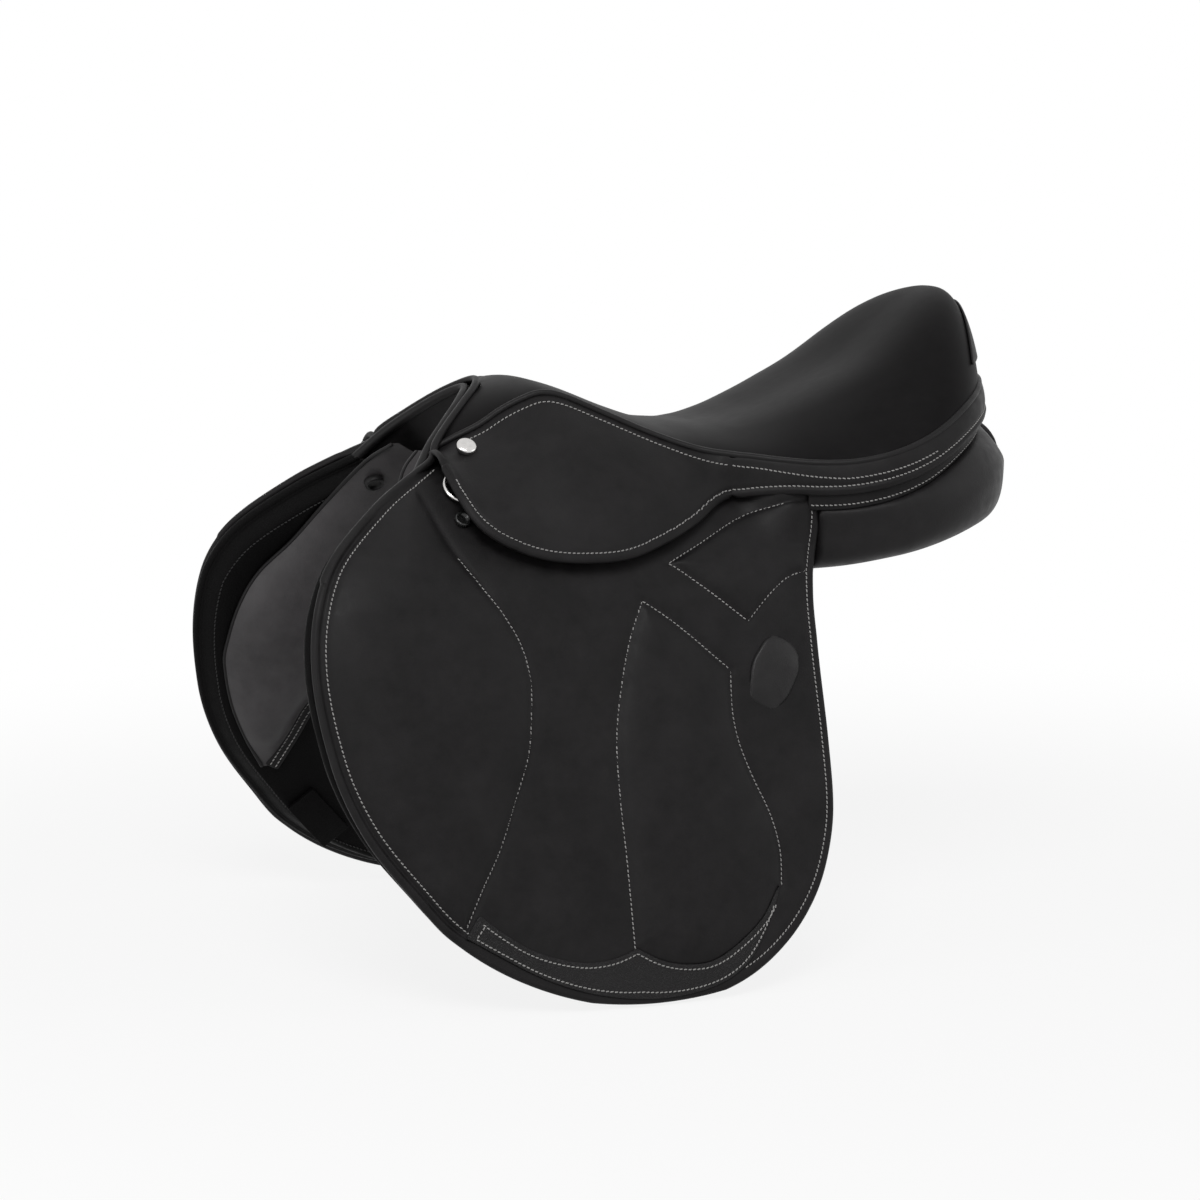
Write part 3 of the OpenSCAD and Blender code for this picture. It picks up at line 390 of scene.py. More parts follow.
def woven(name, dark, light, threads):
    """Plain weave: two crossing waves, one for each set of threads."""
    tree, shader, place = start_finish(name, 0.3)
    warp, weft = [put(tree, "ShaderNodeTexWave", {"Vector": place, "Scale": threads, "Distortion": 0.4},
                      bands_direction=way).outputs["Fac"] for way in ("X", "Z")]
    cloth = math_node(tree, "MULTIPLY", warp, weft)
    tree.links.new(two_tone(tree, cloth, dark, light), shader.inputs["Base Color"])
    shader.inputs["Roughness"].default_value = 0.85
    link_bump(tree, shader, cloth, 0.4, 0.6)


speckled("thread", grey(0.25, 0.02), grey(0.38, 0.02), 0.62, 1400, specular=0.3)
speckled("dark_thread", grey(0.010), grey(0.018), 0.62, 1400, specular=0.3)
speckled("silver", grey(0.52, 0.02), grey(0.72, 0.02), 0.22, 300, metallic=1.0, bump=0.05)
speckled("steel", grey(0.30), grey(0.46), 0.36, 60, metallic=1.0, stretch=(1, 12, 12))
speckled("black_metal", grey(0.010), grey(0.018), 0.26, 500, specular=0.5)
speckled("painted_steel", grey(0.012), grey(0.020), 0.46, 300, specular=0.35)
speckled("tree_plastic", grey(0.035), grey(0.060), 0.60, 420)
speckled("foam", (0.40, 0.33, 0.20, 1), (0.58, 0.50, 0.33, 1), 0.90, 900, specular=0.1, bump=0.8)
woven("webbing", grey(0.045, 0.08), grey(0.12, 0.08), 320)
print("finishes:", len(FINISHES))

# %% [markdown]
# The saddle's surfaces are curves measured at a few places and drawn smoothly between them. The tables give
# shares: the first number is a share of the way along a piece, the second a share of the size that it
# follows. They are the same curves as in the CAD model, so the leather lies on the solids.

# %% Smooth curves


def smooth(table, t):
    """A smooth curve through a table of shares."""
    knots = np.asarray(table, float)
    x, y = knots[:, 0], knots[:, 1]
    before = np.maximum(np.arange(len(x)) - 1, 0)
    after = np.minimum(np.arange(len(x)) + 1, len(x) - 1)
    slope = (y[after] - y[before]) / (x[after] - x[before])
    t = np.asarray(t, float)
    i = np.clip(np.searchsorted(x, t, side="right") - 1, 0, len(x) - 2)
    h = x[i + 1] - x[i]
    u = np.clip((t - x[i]) / h, 0, 1)
    return (y[i] * (1 + 2 * u) * (1 - u) ** 2 + slope[i] * h * u * (1 - u) ** 2
            + y[i + 1] * u ** 2 * (3 - 2 * u) + slope[i + 1] * h * u ** 2 * (u - 1))


def between(a, b, t):
    return a + (b - a) * t


def unit(v):
    return v / np.maximum(np.linalg.norm(v, axis=-1, keepdims=True), 1e-9)


def points(*columns):
    """An array of 3D points from columns that are numbers or arrays."""
    return np.stack(np.broadcast_arrays(*[np.asarray(c, float) for c in columns]), axis=-1)


print("a curve from 0 by 0.8 to 1, a quarter along:", float(smooth([(0, 0), (0.5, 0.8), (1, 1)], 0.25)))

# %% The seat's curves
SEAT_L, SEAT_HALF_W, SEAT_LOW_H = 417.0, 141.0, 109.0
POMMEL_RISE, CANTLE_RISE, WAIST_DROP, DISH_D = 33.0, 92.0, 17.5, 9.0
COVER_T, FOAM_T, WELT_R, GAP = 2.5, 5.0, 2.4, 0.4
FRONT_SHARE, MID_SHARE, WIDE_SHARE = 0.4724, 0.5, 0.7122
PLAN_ROUND, CROWN_ROUND, CROWN_FALL, DISH_W_SHARE = 2.4, 2.4, 0.8, 0.6
POMMEL_START, POMMEL_START_ROUND = 0.122, 1.5
SLOPE_T, SLOPE_Q = 0.003, 0.01
SEAT_W_SHARES = [(0, 0.397), (0.065, 0.426), (0.137, 0.44), (0.209, 0.468), (0.281, 0.518), (0.353, 0.582),
                 (0.425, 0.667), (0.496, 0.766), (0.568, 0.865), (0.64, 0.95), (0.7122, 1)]
POMMEL_SHARES = [(0, 0.18), (0.036, 0.42), (0.08, 0.7), (0.122, 0.88), (0.144, 0.94), (0.18, 1),
                 (0.213, 0.91), (0.249, 0.76), (0.321, 0.39), (0.396, 0.09), (0.468, 0), (0.5, 0)]
CANTLE_SHARES = [(0.5, 0), (0.542, 0.033), (0.58, 0.087), (0.616, 0.152), (0.693, 0.326), (0.767, 0.522),
                 (0.844, 0.793), (0.883, 0.913), (0.921, 0.989), (0.952, 1), (0.971, 0.957),
                 (0.986, 0.859), (0.995, 0.706), (1, 0.467)]
WELT_FRONT_SHARES = [(0, 0.168), (0.034, 0.307), (0.074, 0.465), (0.108, 0.644), (0.142, 0.782),
                     (0.175, 0.871), (0.209, 0.832), (0.273, 0.604), (0.353, 0.307), (0.427, 0.089),
                     (0.487, 0.008), (0.5, 0)]
WELT_REAR_SHARES = [(0.5, 0), (0.547, -0.023), (0.607, -0.041), (0.669, -0.032), (0.739, 0.023),
                    (0.794, 0.096), (0.839, 0.18), (0.878, 0.26), (0.916, 0.33), (0.964, 0.405),
                    (1, 0.434)]
DISH_SHARES = [(0, 0), (0.45, 0), (0.65, 0.6), (0.8, 1), (0.92, 0.5), (0.97, 0), (1, 0)]


def seat_x(t):
    return SEAT_L * (np.asarray(t, float) - FRONT_SHARE)


def seat_t(x):
    return np.asarray(x, float) / SEAT_L + FRONT_SHARE


def seat_w(t):
    rear = np.sqrt(np.maximum(1 - (np.maximum(t - WIDE_SHARE, 0) / (1 - WIDE_SHARE)) ** PLAN_ROUND, 0))
    return SEAT_HALF_W * np.where(t < WIDE_SHARE, smooth(SEAT_W_SHARES, t), rear)


def rim_z(t):
    return SEAT_LOW_H + np.where(t < MID_SHARE, POMMEL_RISE * smooth(POMMEL_SHARES, t),
                                 CANTLE_RISE * smooth(CANTLE_SHARES, t))


def welt_z(t):
    front = (POMMEL_RISE + WAIST_DROP) * smooth(WELT_FRONT_SHARES, t)
    rear = (CANTLE_RISE + WAIST_DROP) * smooth(WELT_REAR_SHARES, t)
    return SEAT_LOW_H - WAIST_DROP + np.where(t < MID_SHARE, front, rear)


def seat_z(t, q):
    crown = (1 - np.minimum(np.abs(q), 1) ** CROWN_ROUND) ** CROWN_FALL
    dish = DISH_D * smooth(DISH_SHARES, t) * np.maximum(1 - (q / DISH_W_SHARE) ** 2, 0) ** 2
    return welt_z(t) + (rim_z(t) - welt_z(t)) * crown - dish


def seat_pt(t, q):
    return points(seat_x(t), q * seat_w(t), seat_z(t, q))


def seat_start(q):
    return POMMEL_START * (1 - np.abs(q) ** POMMEL_START_ROUND)


def seat_way(s, q):
    return between(seat_start(q), 1, np.sin(np.pi / 2 * s))


def seat_off(t, q, d):
    """A point of the seat moved out along its normal."""
    along = seat_pt(t + SLOPE_T, q) - seat_pt(t - SLOPE_T, q)
    across = seat_pt(t, q + SLOPE_Q) - seat_pt(t, q - SLOPE_Q)
    return seat_pt(t, q) + d * unit(np.cross(along, across))


print("seat from", round(float(seat_x(0))), "to", round(float(seat_x(1))), "mm")

# %% [markdown]
# Under the seat, each side hangs as one arched surface: upright near the pommel, then leaning out over the
# horse's ribs. Flap, sweat flap and panel are layers of that surface, so a point is given by its place
# along the saddle, its height and its depth behind the flap's outer face. Lines that are drawn on the flat
# leather are measured along the arch, as on a pattern.

# %% The side's curves
BASE_HALF_W, LEAN, ARCH_H, ARCH_TUCK_W, ARCH_ROUND = 143.0, math.radians(17.2), 146.0, 90.0, 5 / 3
FLAP_W, FLAP_REACH, FLAP_DROP, FLAP_RISE, FLAP_T = 357.0, 115.0, 254.0, 139.0, 5.0
HINGE_Z, SKIRT_LOW_Z, SKIRT_H = 22.0, 29.0, 71.0
FLAP_FRONT_SHARES = [(0, 0.611), (0.247, 0.328), (0.364, 0.21), (0.445, 0.148), (0.553, 0.064),
                     (0.65, 0.017), (0.77, 0.001), (0.85, 0.048), (0.905, 0.168), (0.948, 0.317),
                     (1, 0.468)]
FLAP_REAR_SHARES = [(0, 0.611), (0.16, 0.767), (0.285, 0.868), (0.378, 0.93), (0.451, 0.966),
                    (0.534, 0.992), (0.632, 0.999), (0.753, 1), (0.821, 1.008), (0.892, 1.056), (1, 1.08)]
FLAP_X = float(seat_x(0)) - FLAP_REACH


def side_y(z):
    up = np.maximum(z, 0)
    return BASE_HALF_W - z * math.tan(LEAN) - ARCH_TUCK_W * (up / ARCH_H) ** ARCH_ROUND


def side_slope(z):
    bend = ARCH_ROUND * ARCH_TUCK_W / ARCH_H * (np.maximum(z, 0) / ARCH_H) ** (ARCH_ROUND - 1)
    return math.tan(LEAN) + bend


def side_pt(x, z, d, ease=0.0):
    """A point at depth d on the off side, outwards from the flap's outer face. Ease rounds the bend."""
    x, z, d = np.broadcast_arrays(*[np.asarray(v, float) for v in (x, z, d)])
    slope = side_slope((z + np.sqrt(z * z + ease * ease)) / 2)
    length = np.sqrt(1 + slope ** 2)
    return points(x, side_y(z) + d / length, z + d * slope / length)


def side_normal(z):
    slope = side_slope(np.asarray(z, float))
    length = np.sqrt(1 + slope ** 2)
    return points(np.zeros_like(slope), 1 / length, slope / length)


PATTERN_Z = np.linspace(-300, 150, 901)
PATTERN_S = np.concatenate([[0], np.cumsum(np.hypot(np.diff(PATTERN_Z), np.diff(side_y(PATTERN_Z))))])
PATTERN_S = PATTERN_S - np.interp(0, PATTERN_Z, PATTERN_S)


def to_pattern(line):
    """Points (x, height) laid flat: (x, length along the arch)."""
    line = np.asarray(line, float)
    return np.stack([line[..., 0], np.interp(line[..., 1], PATTERN_Z, PATTERN_S)], axis=-1)


def from_pattern(line):
    return np.stack([line[..., 0], np.interp(line[..., 1], PATTERN_S, PATTERN_Z)], axis=-1)


def flap_k(z):
    return np.sqrt(np.maximum((z + FLAP_DROP) / (FLAP_DROP + FLAP_RISE), 0))


def flap_front(z):
    return FLAP_X + FLAP_W * smooth(FLAP_FRONT_SHARES, flap_k(z))


def flap_rear(z):
    return FLAP_X + FLAP_W * smooth(FLAP_REAR_SHARES, flap_k(z))


print("flap from", round(FLAP_X), "to", round(FLAP_X + FLAP_W), "mm, drop", FLAP_DROP)

# %% [markdown]
# Four kinds of mesh make almost every piece. A slab is a sheet of leather with two faces and a rounded edge
# all the way round. A tube is a welt or a rolled edge. A turned piece is a nail or a stud. A row of
# stitches is a row of small beans, pressed into the leather, each as long as a real stitch. The edge and the
# thread are built as geometry, so they are part of the mesh.

# %% Sheets
RIM_ANGLES = np.radians([36, 72, 108, 144])


def slab(outer, inner, rim=True, plain_rows=()):
    """Vertices and faces of a sheet between two grids of points, with a half-round edge.

    The edge stays flat along the rows that butt against the next piece.
    """
    rows, cols = outer.shape[:2]
    count = rows * cols
    index = np.arange(count).reshape(rows, cols)
    quads = np.stack([index[:-1, :-1], index[:-1, 1:], index[1:, 1:], index[1:, :-1]], axis=-1).reshape(-1, 4)
    loop = np.concatenate([index[0, :-1], index[:-1, -1], index[-1, :0:-1], index[:0:-1, 0]])
    row, col = np.divmod(loop, cols)
    inside = index[np.clip(row, 1, rows - 2), np.clip(col, 1, cols - 2)]
    flat_outer, flat_inner = outer.reshape(-1, 3), inner.reshape(-1, 3)
    top, low = flat_outer[loop], flat_inner[loop]
    middle, normal = (top + low) / 2, unit(top - low)
    radius = np.linalg.norm(top - low, axis=1, keepdims=True) / 2
    flat = np.isin(row, [r % rows for r in plain_rows])[:, None]
    along = unit(np.roll(middle, -1, axis=0) - np.roll(middle, 1, axis=0))
    out = unit(np.cross(along, normal))
    inward = (flat_outer[inside] + flat_inner[inside]) / 2 - middle
    out = out * np.where((out * inward).sum(1, keepdims=True) > 0, -1, 1)
    verts = [flat_outer, flat_inner]
    rings = [loop]
    if rim:
        for k, angle in enumerate(RIM_ANGLES):
            reach = np.where(flat, 0, math.sin(angle)) * out
            verts.append(middle + radius * (math.cos(angle) * normal + reach))
            rings.append(2 * count + k * len(loop) + np.arange(len(loop)))
    rings.append(loop + count)
    faces = [quads, quads[:, ::-1] + count]
    for a, b in zip(rings[:-1], rings[1:]):
        faces.append(np.stack([a, b, np.roll(b, -1), np.roll(a, -1)], axis=-1))
    return np.concatenate(verts), np.concatenate(faces).tolist()


print("steps round a sheet's edge:", len(RIM_ANGLES) + 1)

# %% Tubes and turned pieces
TUBE_SIDES, TURNED_SIDES = 12, 40


def ring_faces(rows, cols):
    """Faces of a tube of rings, with its two ends as single faces."""
    index = np.arange(rows * cols).reshape(rows, cols)
    faces = np.stack([index[:-1], np.roll(index[:-1], -1, 1), np.roll(index[1:], -1, 1), index[1:]], axis=-1)
    return faces.reshape(-1, 4).tolist() + [index[0, ::-1].tolist(), index[-1].tolist()]


def tube(path, radius, sides=TUBE_SIDES):
    """Vertices and faces of a closed-ended tube along a path."""
    along = unit(np.gradient(path, axis=0))
    side = unit(np.cross(along, [0.0, 0.0, 1.0]))
    lift = np.cross(side, along)
    angle = np.linspace(0, 2 * np.pi, sides, endpoint=False)
    radius = np.broadcast_to(np.asarray(radius, float), (len(path),))
    ring = np.cos(angle)[None, :, None] * side[:, None] + np.sin(angle)[None, :, None] * lift[:, None]
    verts = (path[:, None] + radius[:, None, None] * ring).reshape(-1, 3)
    return verts, ring_faces(len(path), sides)


def turned(profile, centre, axis):
    """Vertices and faces of a piece turned on a lathe, from a profile of (radius, height)."""
    axis = unit(np.asarray(axis, float))
    first = unit(np.cross(axis, [0.3, 0.2, 0.9]))
    second = np.cross(axis, first)
    angle = np.linspace(0, 2 * np.pi, TURNED_SIDES, endpoint=False)
    around = np.cos(angle)[:, None] * first + np.sin(angle)[:, None] * second
    verts = np.concatenate([np.asarray(centre) + r * around + h * axis for r, h in profile])
    return verts, ring_faces(len(profile), TURNED_SIDES)


print("faces of a tube of two rings:", len(ring_faces(2, TUBE_SIDES)))

# %% Pieces
WELD_M = 0.00001


def joined(*parts):
    """Several meshes as one."""
    verts, faces, start = [], [], 0
    for v, f in parts:
        verts.append(v)
        faces += [[i + start for i in face] for face in f]
        start += len(v)
    return np.concatenate(verts), faces


def piece(name, mesh_parts, finish, side=1, smooth_deg=None):
    """A new object from vertices in millimetres and faces, on the off side (1) or the near side (-1)."""
    verts, faces = mesh_parts
    mesh = bpy.data.meshes.new(name)
    mesh.from_pydata((verts * np.array([MM, side * MM, MM])).tolist(), [], faces)
    work = bmesh.new()
    work.from_mesh(mesh)
    bmesh.ops.remove_doubles(work, verts=work.verts, dist=WELD_M)
    bmesh.ops.recalc_face_normals(work, faces=work.faces)
    work.to_mesh(mesh)
    work.free()
    mesh.materials.append(FINISHES[finish])
    mesh.shade_smooth()
    made = bpy.data.objects.new(name, mesh)
    scene.collection.objects.link(made)
    if smooth_deg:
        mesh.set_sharp_from_angle(angle=math.radians(smooth_deg))
    return made


print("points within", WELD_M / MM, "mm become one")

# %% Lines


def way_along(line):
    """How far along a line each of its points is."""
    return np.concatenate([[0], np.linalg.norm(np.diff(line, axis=0), axis=1).cumsum()])


def resample(line, step):
    """Points at even steps along a line."""
    line = np.asarray(line, float)
    length = way_along(line)
    count = max(int(round(length[-1] / step)), 1) + 1
    at = np.linspace(0, length[-1], count)
    return np.stack([np.interp(at, length, line[:, i]) for i in range(line.shape[1])], axis=-1)


def spline(hand_points, step=1.5):
    """A smooth line through a few listed points."""
    p = np.asarray(hand_points, float)
    length = way_along(p)
    at = np.linspace(0, length[-1], max(int(length[-1] / step), 2))
    return np.stack([smooth(np.stack([length, p[:, i]], axis=-1), at) for i in range(p.shape[1])], axis=-1)


def shifted(line, distance):
    """A flat line moved sideways, to its left for a positive distance."""
    along = unit(np.gradient(line, axis=0))
    return line + distance * np.stack([-along[:, 1], along[:, 0]], axis=-1)


print("points on a line of 10 mm at steps of 2:", len(resample([(0, 0), (10, 0)], 2)))

# %% Stitches
STITCH_PITCH, STITCH_L, STITCH_R, STITCH_SLANT = 3.15, 2.35, 0.46, 0.17
STITCH_SIDES, RUN_STEP, THREAD_OFF = 6, 1.5, 0.1
STITCH_SHAPE = [(-0.5, 0.35, -0.35), (-0.36, 0.95, 0.25), (0.36, 0.95, 0.25), (0.5, 0.35, -0.35)]


def stitches(*runs):
    """Thread for several runs. A run is its points and the leather's normals there."""
    ring = np.linspace(0, 2 * np.pi, STITCH_SIDES, endpoint=False)
    verts, faces, start = [], [], 0
    for line, normals in runs:
        both = resample(np.concatenate([line, normals], axis=1), STITCH_PITCH / 2)
        seat, normal = both[1::2, :3], unit(both[1::2, 3:])
        along = unit(both[2::2, :3] - both[:-2:2, :3])
        seat, normal = seat[:len(along)], normal[:len(along)]
        across = unit(np.cross(along, normal))
        along, across = unit(along + STITCH_SLANT * across), unit(across - STITCH_SLANT * along)
        block = []
        for place, width, lift in STITCH_SHAPE:
            centre = seat + STITCH_L * place * along + STITCH_R * lift * normal
            for a in ring:
                block.append(centre + STITCH_R * width * (math.cos(a) * across + math.sin(a) * normal))
        block = np.stack(block, axis=1)
        verts.append(block.reshape(-1, 3))
        size = len(STITCH_SHAPE) * STITCH_SIDES
        for n in range(len(block)):
            base = start + n * size
            for r in range(len(STITCH_SHAPE) - 1):
                for s in range(STITCH_SIDES):
                    a, b = base + r * STITCH_SIDES + s, base + r * STITCH_SIDES + (s + 1) % STITCH_SIDES
                    faces.append([a, b, b + STITCH_SIDES, a + STITCH_SIDES])
            faces.append([base + s for s in range(STITCH_SIDES)][::-1])
            faces.append([base + size - STITCH_SIDES + s for s in range(STITCH_SIDES)])
        start += len(block) * size
    return np.concatenate(verts), faces


print("stitches to the centimetre:", round(10 / STITCH_PITCH, 1))

# %% Lines laid on a surface
SADDLE_MIDDLE = (0.0, 0.0, -60.0)


def grid_normals(grid):
    """Normals of a grid of points, turned away from the saddle's middle."""
    normal = unit(np.cross(np.gradient(grid, axis=0), np.gradient(grid, axis=1)))
    away = grid - np.array(SADDLE_MIDDLE)
    return normal * np.where((normal * away).sum(-1, keepdims=True) < 0, -1, 1)


def onto(line, grid):
    """A line of 3D points dropped onto a grid's surface, with the normals there."""
    spots, normals = grid.reshape(-1, 3), grid_normals(grid).reshape(-1, 3)
    nearest = np.array([np.argmin(((spots - p) ** 2).sum(1)) for p in line])
    normal = normals[nearest]
    height = ((line - spots[nearest]) * normal).sum(1, keepdims=True)
    return line - height * normal, normal


print("normals point away from", SADDLE_MIDDLE)

# %% [markdown]
# The seat is leather drawn over foam, deepest a little behind the middle and rolled up to the cantle. It is
# one surface over its own length and width, so no modifier is needed: the grid is fine enough to shade
# smoothly. A piped welt closes it all round. The foam core inside is a closed form of its own.

# %% Seat and foam
SEAT_ROWS, SEAT_COLS = 120, 96
SEAT_RUN, SEAT_SPREAD = (0.004, 0.982), 0.998
FOAM_RUN, FOAM_SPREAD, FOAM_LOW_SHARE = (0.0584, 0.784), 0.92, 0.45


def eased(count):
    """Shares from -1 to 1 that crowd together at both ends."""
    return np.sin(np.pi / 2 * np.linspace(-1, 1, count))


seat_s = np.linspace(*SEAT_RUN, SEAT_ROWS)[:, None]
seat_q = SEAT_SPREAD * eased(SEAT_COLS)[None, :]
seat_ways = seat_way(seat_s, seat_q)
seat_grid = seat_off(seat_ways, seat_q, 0.0)
# The seat's darker leather carries painted shade.
seat = piece("seat", slab(seat_grid, seat_off(seat_ways, seat_q, -COVER_T)), "seat_leather")
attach(seat, ROOT)
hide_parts("seat_cover")


def core_z(t, q):
    return between(welt_z(t), seat_z(t, q), FOAM_LOW_SHARE) - FOAM_T - COVER_T


foam_s = np.linspace(*FOAM_RUN, 48)[:, None]
foam_q = FOAM_SPREAD * eased(40)[None, :]
foam_t = seat_way(foam_s, foam_q)
foam_low = points(seat_x(foam_t), foam_q * seat_w(foam_t), core_z(foam_t, foam_q))
core = piece("seat_core", slab(seat_off(foam_t, foam_q, -COVER_T - GAP), foam_low, rim=False), "foam")
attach(core, ROOT)
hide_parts("seat_foam")
print("seat", len(seat.data.vertices), "points, foam", len(core.data.vertices))

# %% Welts and rolls
PIPING_STEP = 3.0
welt_way = np.concatenate([np.linspace(0, FRONT_SHARE, 60)[:-1],
                           between(FRONT_SHARE, 1, np.sin(np.pi / 2 * np.linspace(0, 1, 90)))])
half_welt = points(seat_x(welt_way), seat_w(welt_way), welt_z(welt_way))
welt_path = np.concatenate([half_welt * [1, -1, 1], half_welt[-2::-1]])
welt = piece("seat_piping", tube(resample(welt_path, PIPING_STEP), WELT_R), "edge_leather")
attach(welt, ROOT)
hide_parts("seat_welt")

# Two rolls run up the flaps' front edges and over the pommel without a break. Each has a radius at the ridge
# and another at its ends.
BINDING_R, GULLET_R, BINDING_TAPER = (2.7, 2.0), (3.0, 4.2), 10
BINDING_ROLL = [(-198, 61, 102.5), (-186, 48.5, 113.5), (-167, 31, 128.5), (-153, 14, 138),
                (-148.5, 0, 141)]
GULLET_ROLL = [(-217, 72, 78), (-209, 64, 88), (-198, 52, 101), (-181, 36, 116.5), (-165, 18, 129.5),
               (-156.5, 0, 135.5)]


def over_the_pommel(hand_points):
    half = np.asarray(hand_points, float)
    return spline(np.concatenate([half * [1, -1, 1], half[-2::-1]]), PIPING_STEP)


FLAP_EDGE_RUN = [HINGE_Z + 4, 34, 46, 58, 70, 80, 88, 95]
flap_edge_z = np.array(FLAP_EDGE_RUN)
flap_edge = side_pt(flap_front(flap_edge_z) + FLAP_T / 2, flap_edge_z, -FLAP_T / 2)
binding_path = over_the_pommel(np.concatenate([flap_edge, BINDING_ROLL]))
gullet_path = over_the_pommel(GULLET_ROLL)
roll_share = np.abs(np.linspace(-1, 1, len(gullet_path)))
binding_way = np.linspace(-BINDING_TAPER, BINDING_TAPER, len(binding_path))
binding_share = np.clip(np.abs(binding_way) - (BINDING_TAPER - 1), 0, 1)
pommel = piece("pommel_rolls", joined(tube(binding_path, between(*BINDING_R, binding_share)),
                                      tube(gullet_path, between(*GULLET_R, roll_share))), "edge_leather")
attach(pommel, ROOT)
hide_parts("pommel_welt")
print("piping", len(welt.data.vertices) // TUBE_SIDES, "rings")

# %% [markdown]
# A skirt is a thick lobe of leather that hides the stirrup bar. It hangs from the welt in a shallow bulge
# and its edge is rolled, with a row of stitches a few millimetres inside. Behind the lobe the same leather
# runs on as a narrow band round the cantle. The lobe has to lift on its bend line, so each skirt is its own
# mesh.

# %% Skirt shape
SKIRT_LEAD, SKIRT_T, SKIRT_GAP, SKIRT_BULGE = 5.0, 4.5, 9.5, 7.0
SKIRT_L = SKIRT_LEAD - float(seat_x(0))
SKIRT_LOW_SHARES = [(0, 1), (0.07, 0.83), (0.157, 0.577), (0.263, 0.352), (0.398, 0.169), (0.531, 0.042),
                    (0.649, 0), (0.751, 0.02), (0.844, 0.145), (0.916, 0.29), (0.962, 0.421),
                    (0.986, 0.469), (1, 0.48)]
SKIRT_OUT_SHARES = [(0, 0.4), (0.07, 1.2), (0.16, 1.5), (0.3, 1.3), (0.5, 1.05), (0.85, 1), (1, 0.45)]
SKIRT_BULGE_SHARES = [(0, 0.3), (0.1, 1.2), (0.2, 1.35), (0.5, 1), (0.8, 1), (1, 0.1)]
SKIRT_COVER_SHARES = [(0, 0), (0.42, 0), (0.5, 1), (0.91, 1), (0.97, 0), (1, 0)]
DEE_COVER_SHARES = [(0, 0), (0.04, 0), (0.12, 1), (0.36, 1), (0.44, 0), (1, 0)]
BAR_OUT, DEE_OUT = 10.4, 7.5
SKIRT_STITCH_IN, SKIRT_STITCH_DOWN = 6.0, 5.0
SKIRT_BEAD, SKIRT_BEAD_IN, SKIRT_BEAD_W = 0.9, 0.6, 2.2
SKIRT_GROOVE, SKIRT_GROOVE_W = 0.7, 1.5
SKIRT_START, LOW_ROW_START, TOP_ROW_START = 0.07, 7, 9
SKIRT_ROW_EASE, LEAST_SKIRT = 1.25, 0.6
CREASE_DEG = 60


def hang(top, low, rise, v):
    """A curve in the cross plane from the welt to the lower edge, bulged by rise. Returns (out, up)."""
    chord = unit(np.stack([top[1] - low[1] + GAP, low[0] - top[0]], axis=-1))
    middle = [(top[i] + low[i]) / 2 + 2 * rise * chord[..., i] for i in (0, 1)]
    curve = [(1 - v) ** 2 * top[i] + 2 * v * (1 - v) * middle[i] + v ** 2 * low[i] for i in (0, 1)]
    return curve, chord


def skirt_pt(k, v, d):
    k, v = np.broadcast_arrays(k, v)
    t = np.maximum(seat_t(float(seat_x(0)) - SKIRT_LEAD + k * k * SKIRT_L), 0)
    z = SKIRT_LOW_Z + SKIRT_H * smooth(SKIRT_LOW_SHARES, k)
    top = [seat_w(t) + WELT_R + GAP, welt_z(t) - WELT_R]
    low = [side_y(z) + (SKIRT_GAP + SKIRT_T) * smooth(SKIRT_OUT_SHARES, k), z]
    mid_out, mid_up = (top[0] + low[0]) / 2, (top[1] + low[1]) / 2
    spare = (mid_out - side_y(mid_up)) / np.sqrt(1 + side_slope(mid_up) ** 2)
    spare = spare - SKIRT_T - 2 * GAP
    cover = np.maximum(smooth(SKIRT_COVER_SHARES, k) * (BAR_OUT - spare),
                       smooth(DEE_COVER_SHARES, k) * (DEE_OUT - spare))
    curve, chord = hang(top, low, np.maximum(SKIRT_BULGE * smooth(SKIRT_BULGE_SHARES, k), cover), v)
    return points(float(seat_x(0)) - SKIRT_LEAD + k * k * SKIRT_L, curve[0] + d * chord[..., 0],
                  curve[1] + d * chord[..., 1])


def line_distance(spots, line):
    """Distance of each spot to a line of points."""
    flat = spots.reshape(-1, spots.shape[-1])
    best = np.full(len(flat), np.inf)
    for a, b in zip(line[:-1], line[1:]):
        ab = b - a
        t = np.clip(((flat - a) @ ab) / max(ab @ ab, 1e-9), 0, 1)
        best = np.minimum(best, np.linalg.norm(flat - (a + t[:, None] * ab), axis=1))
    return best.reshape(spots.shape[:-1])


def edge_relief(from_edge):
    """The rolled edge of a skirt or band, and the groove that its stitches lie in."""
    bead = SKIRT_BEAD * np.exp(-((from_edge - SKIRT_BEAD_IN) / SKIRT_BEAD_W) ** 2)
    groove = SKIRT_GROOVE * np.exp(-((from_edge - SKIRT_STITCH_IN + SKIRT_T / 2) / SKIRT_GROOVE_W) ** 2)
    return bead - groove


skirt_k = np.linspace(SKIRT_START, 1.0, 150)[:, None]
skirt_drop = np.linalg.norm(np.diff(skirt_pt(skirt_k, np.array([[0.0, 1.0]]), 0.0), axis=1), axis=2)
skirt_v = (1 - (1 - np.linspace(0, 1, 52)) ** SKIRT_ROW_EASE)[None, :]
skirt_v = skirt_v * np.maximum(1 - SKIRT_T / 2 / skirt_drop, LEAST_SKIRT)
skirt_base = skirt_pt(skirt_k, skirt_v, 0.0)
skirt_edge = resample(skirt_base[:, -1], 2.0)
skirt_outer = skirt_pt(skirt_k, skirt_v, edge_relief(line_distance(skirt_base, skirt_edge)))
skirt_inner = skirt_pt(skirt_k, skirt_v, -SKIRT_T)
print("skirt grid", skirt_outer.shape[:2], "edge", len(skirt_edge), "points")

# %% Skirt pieces


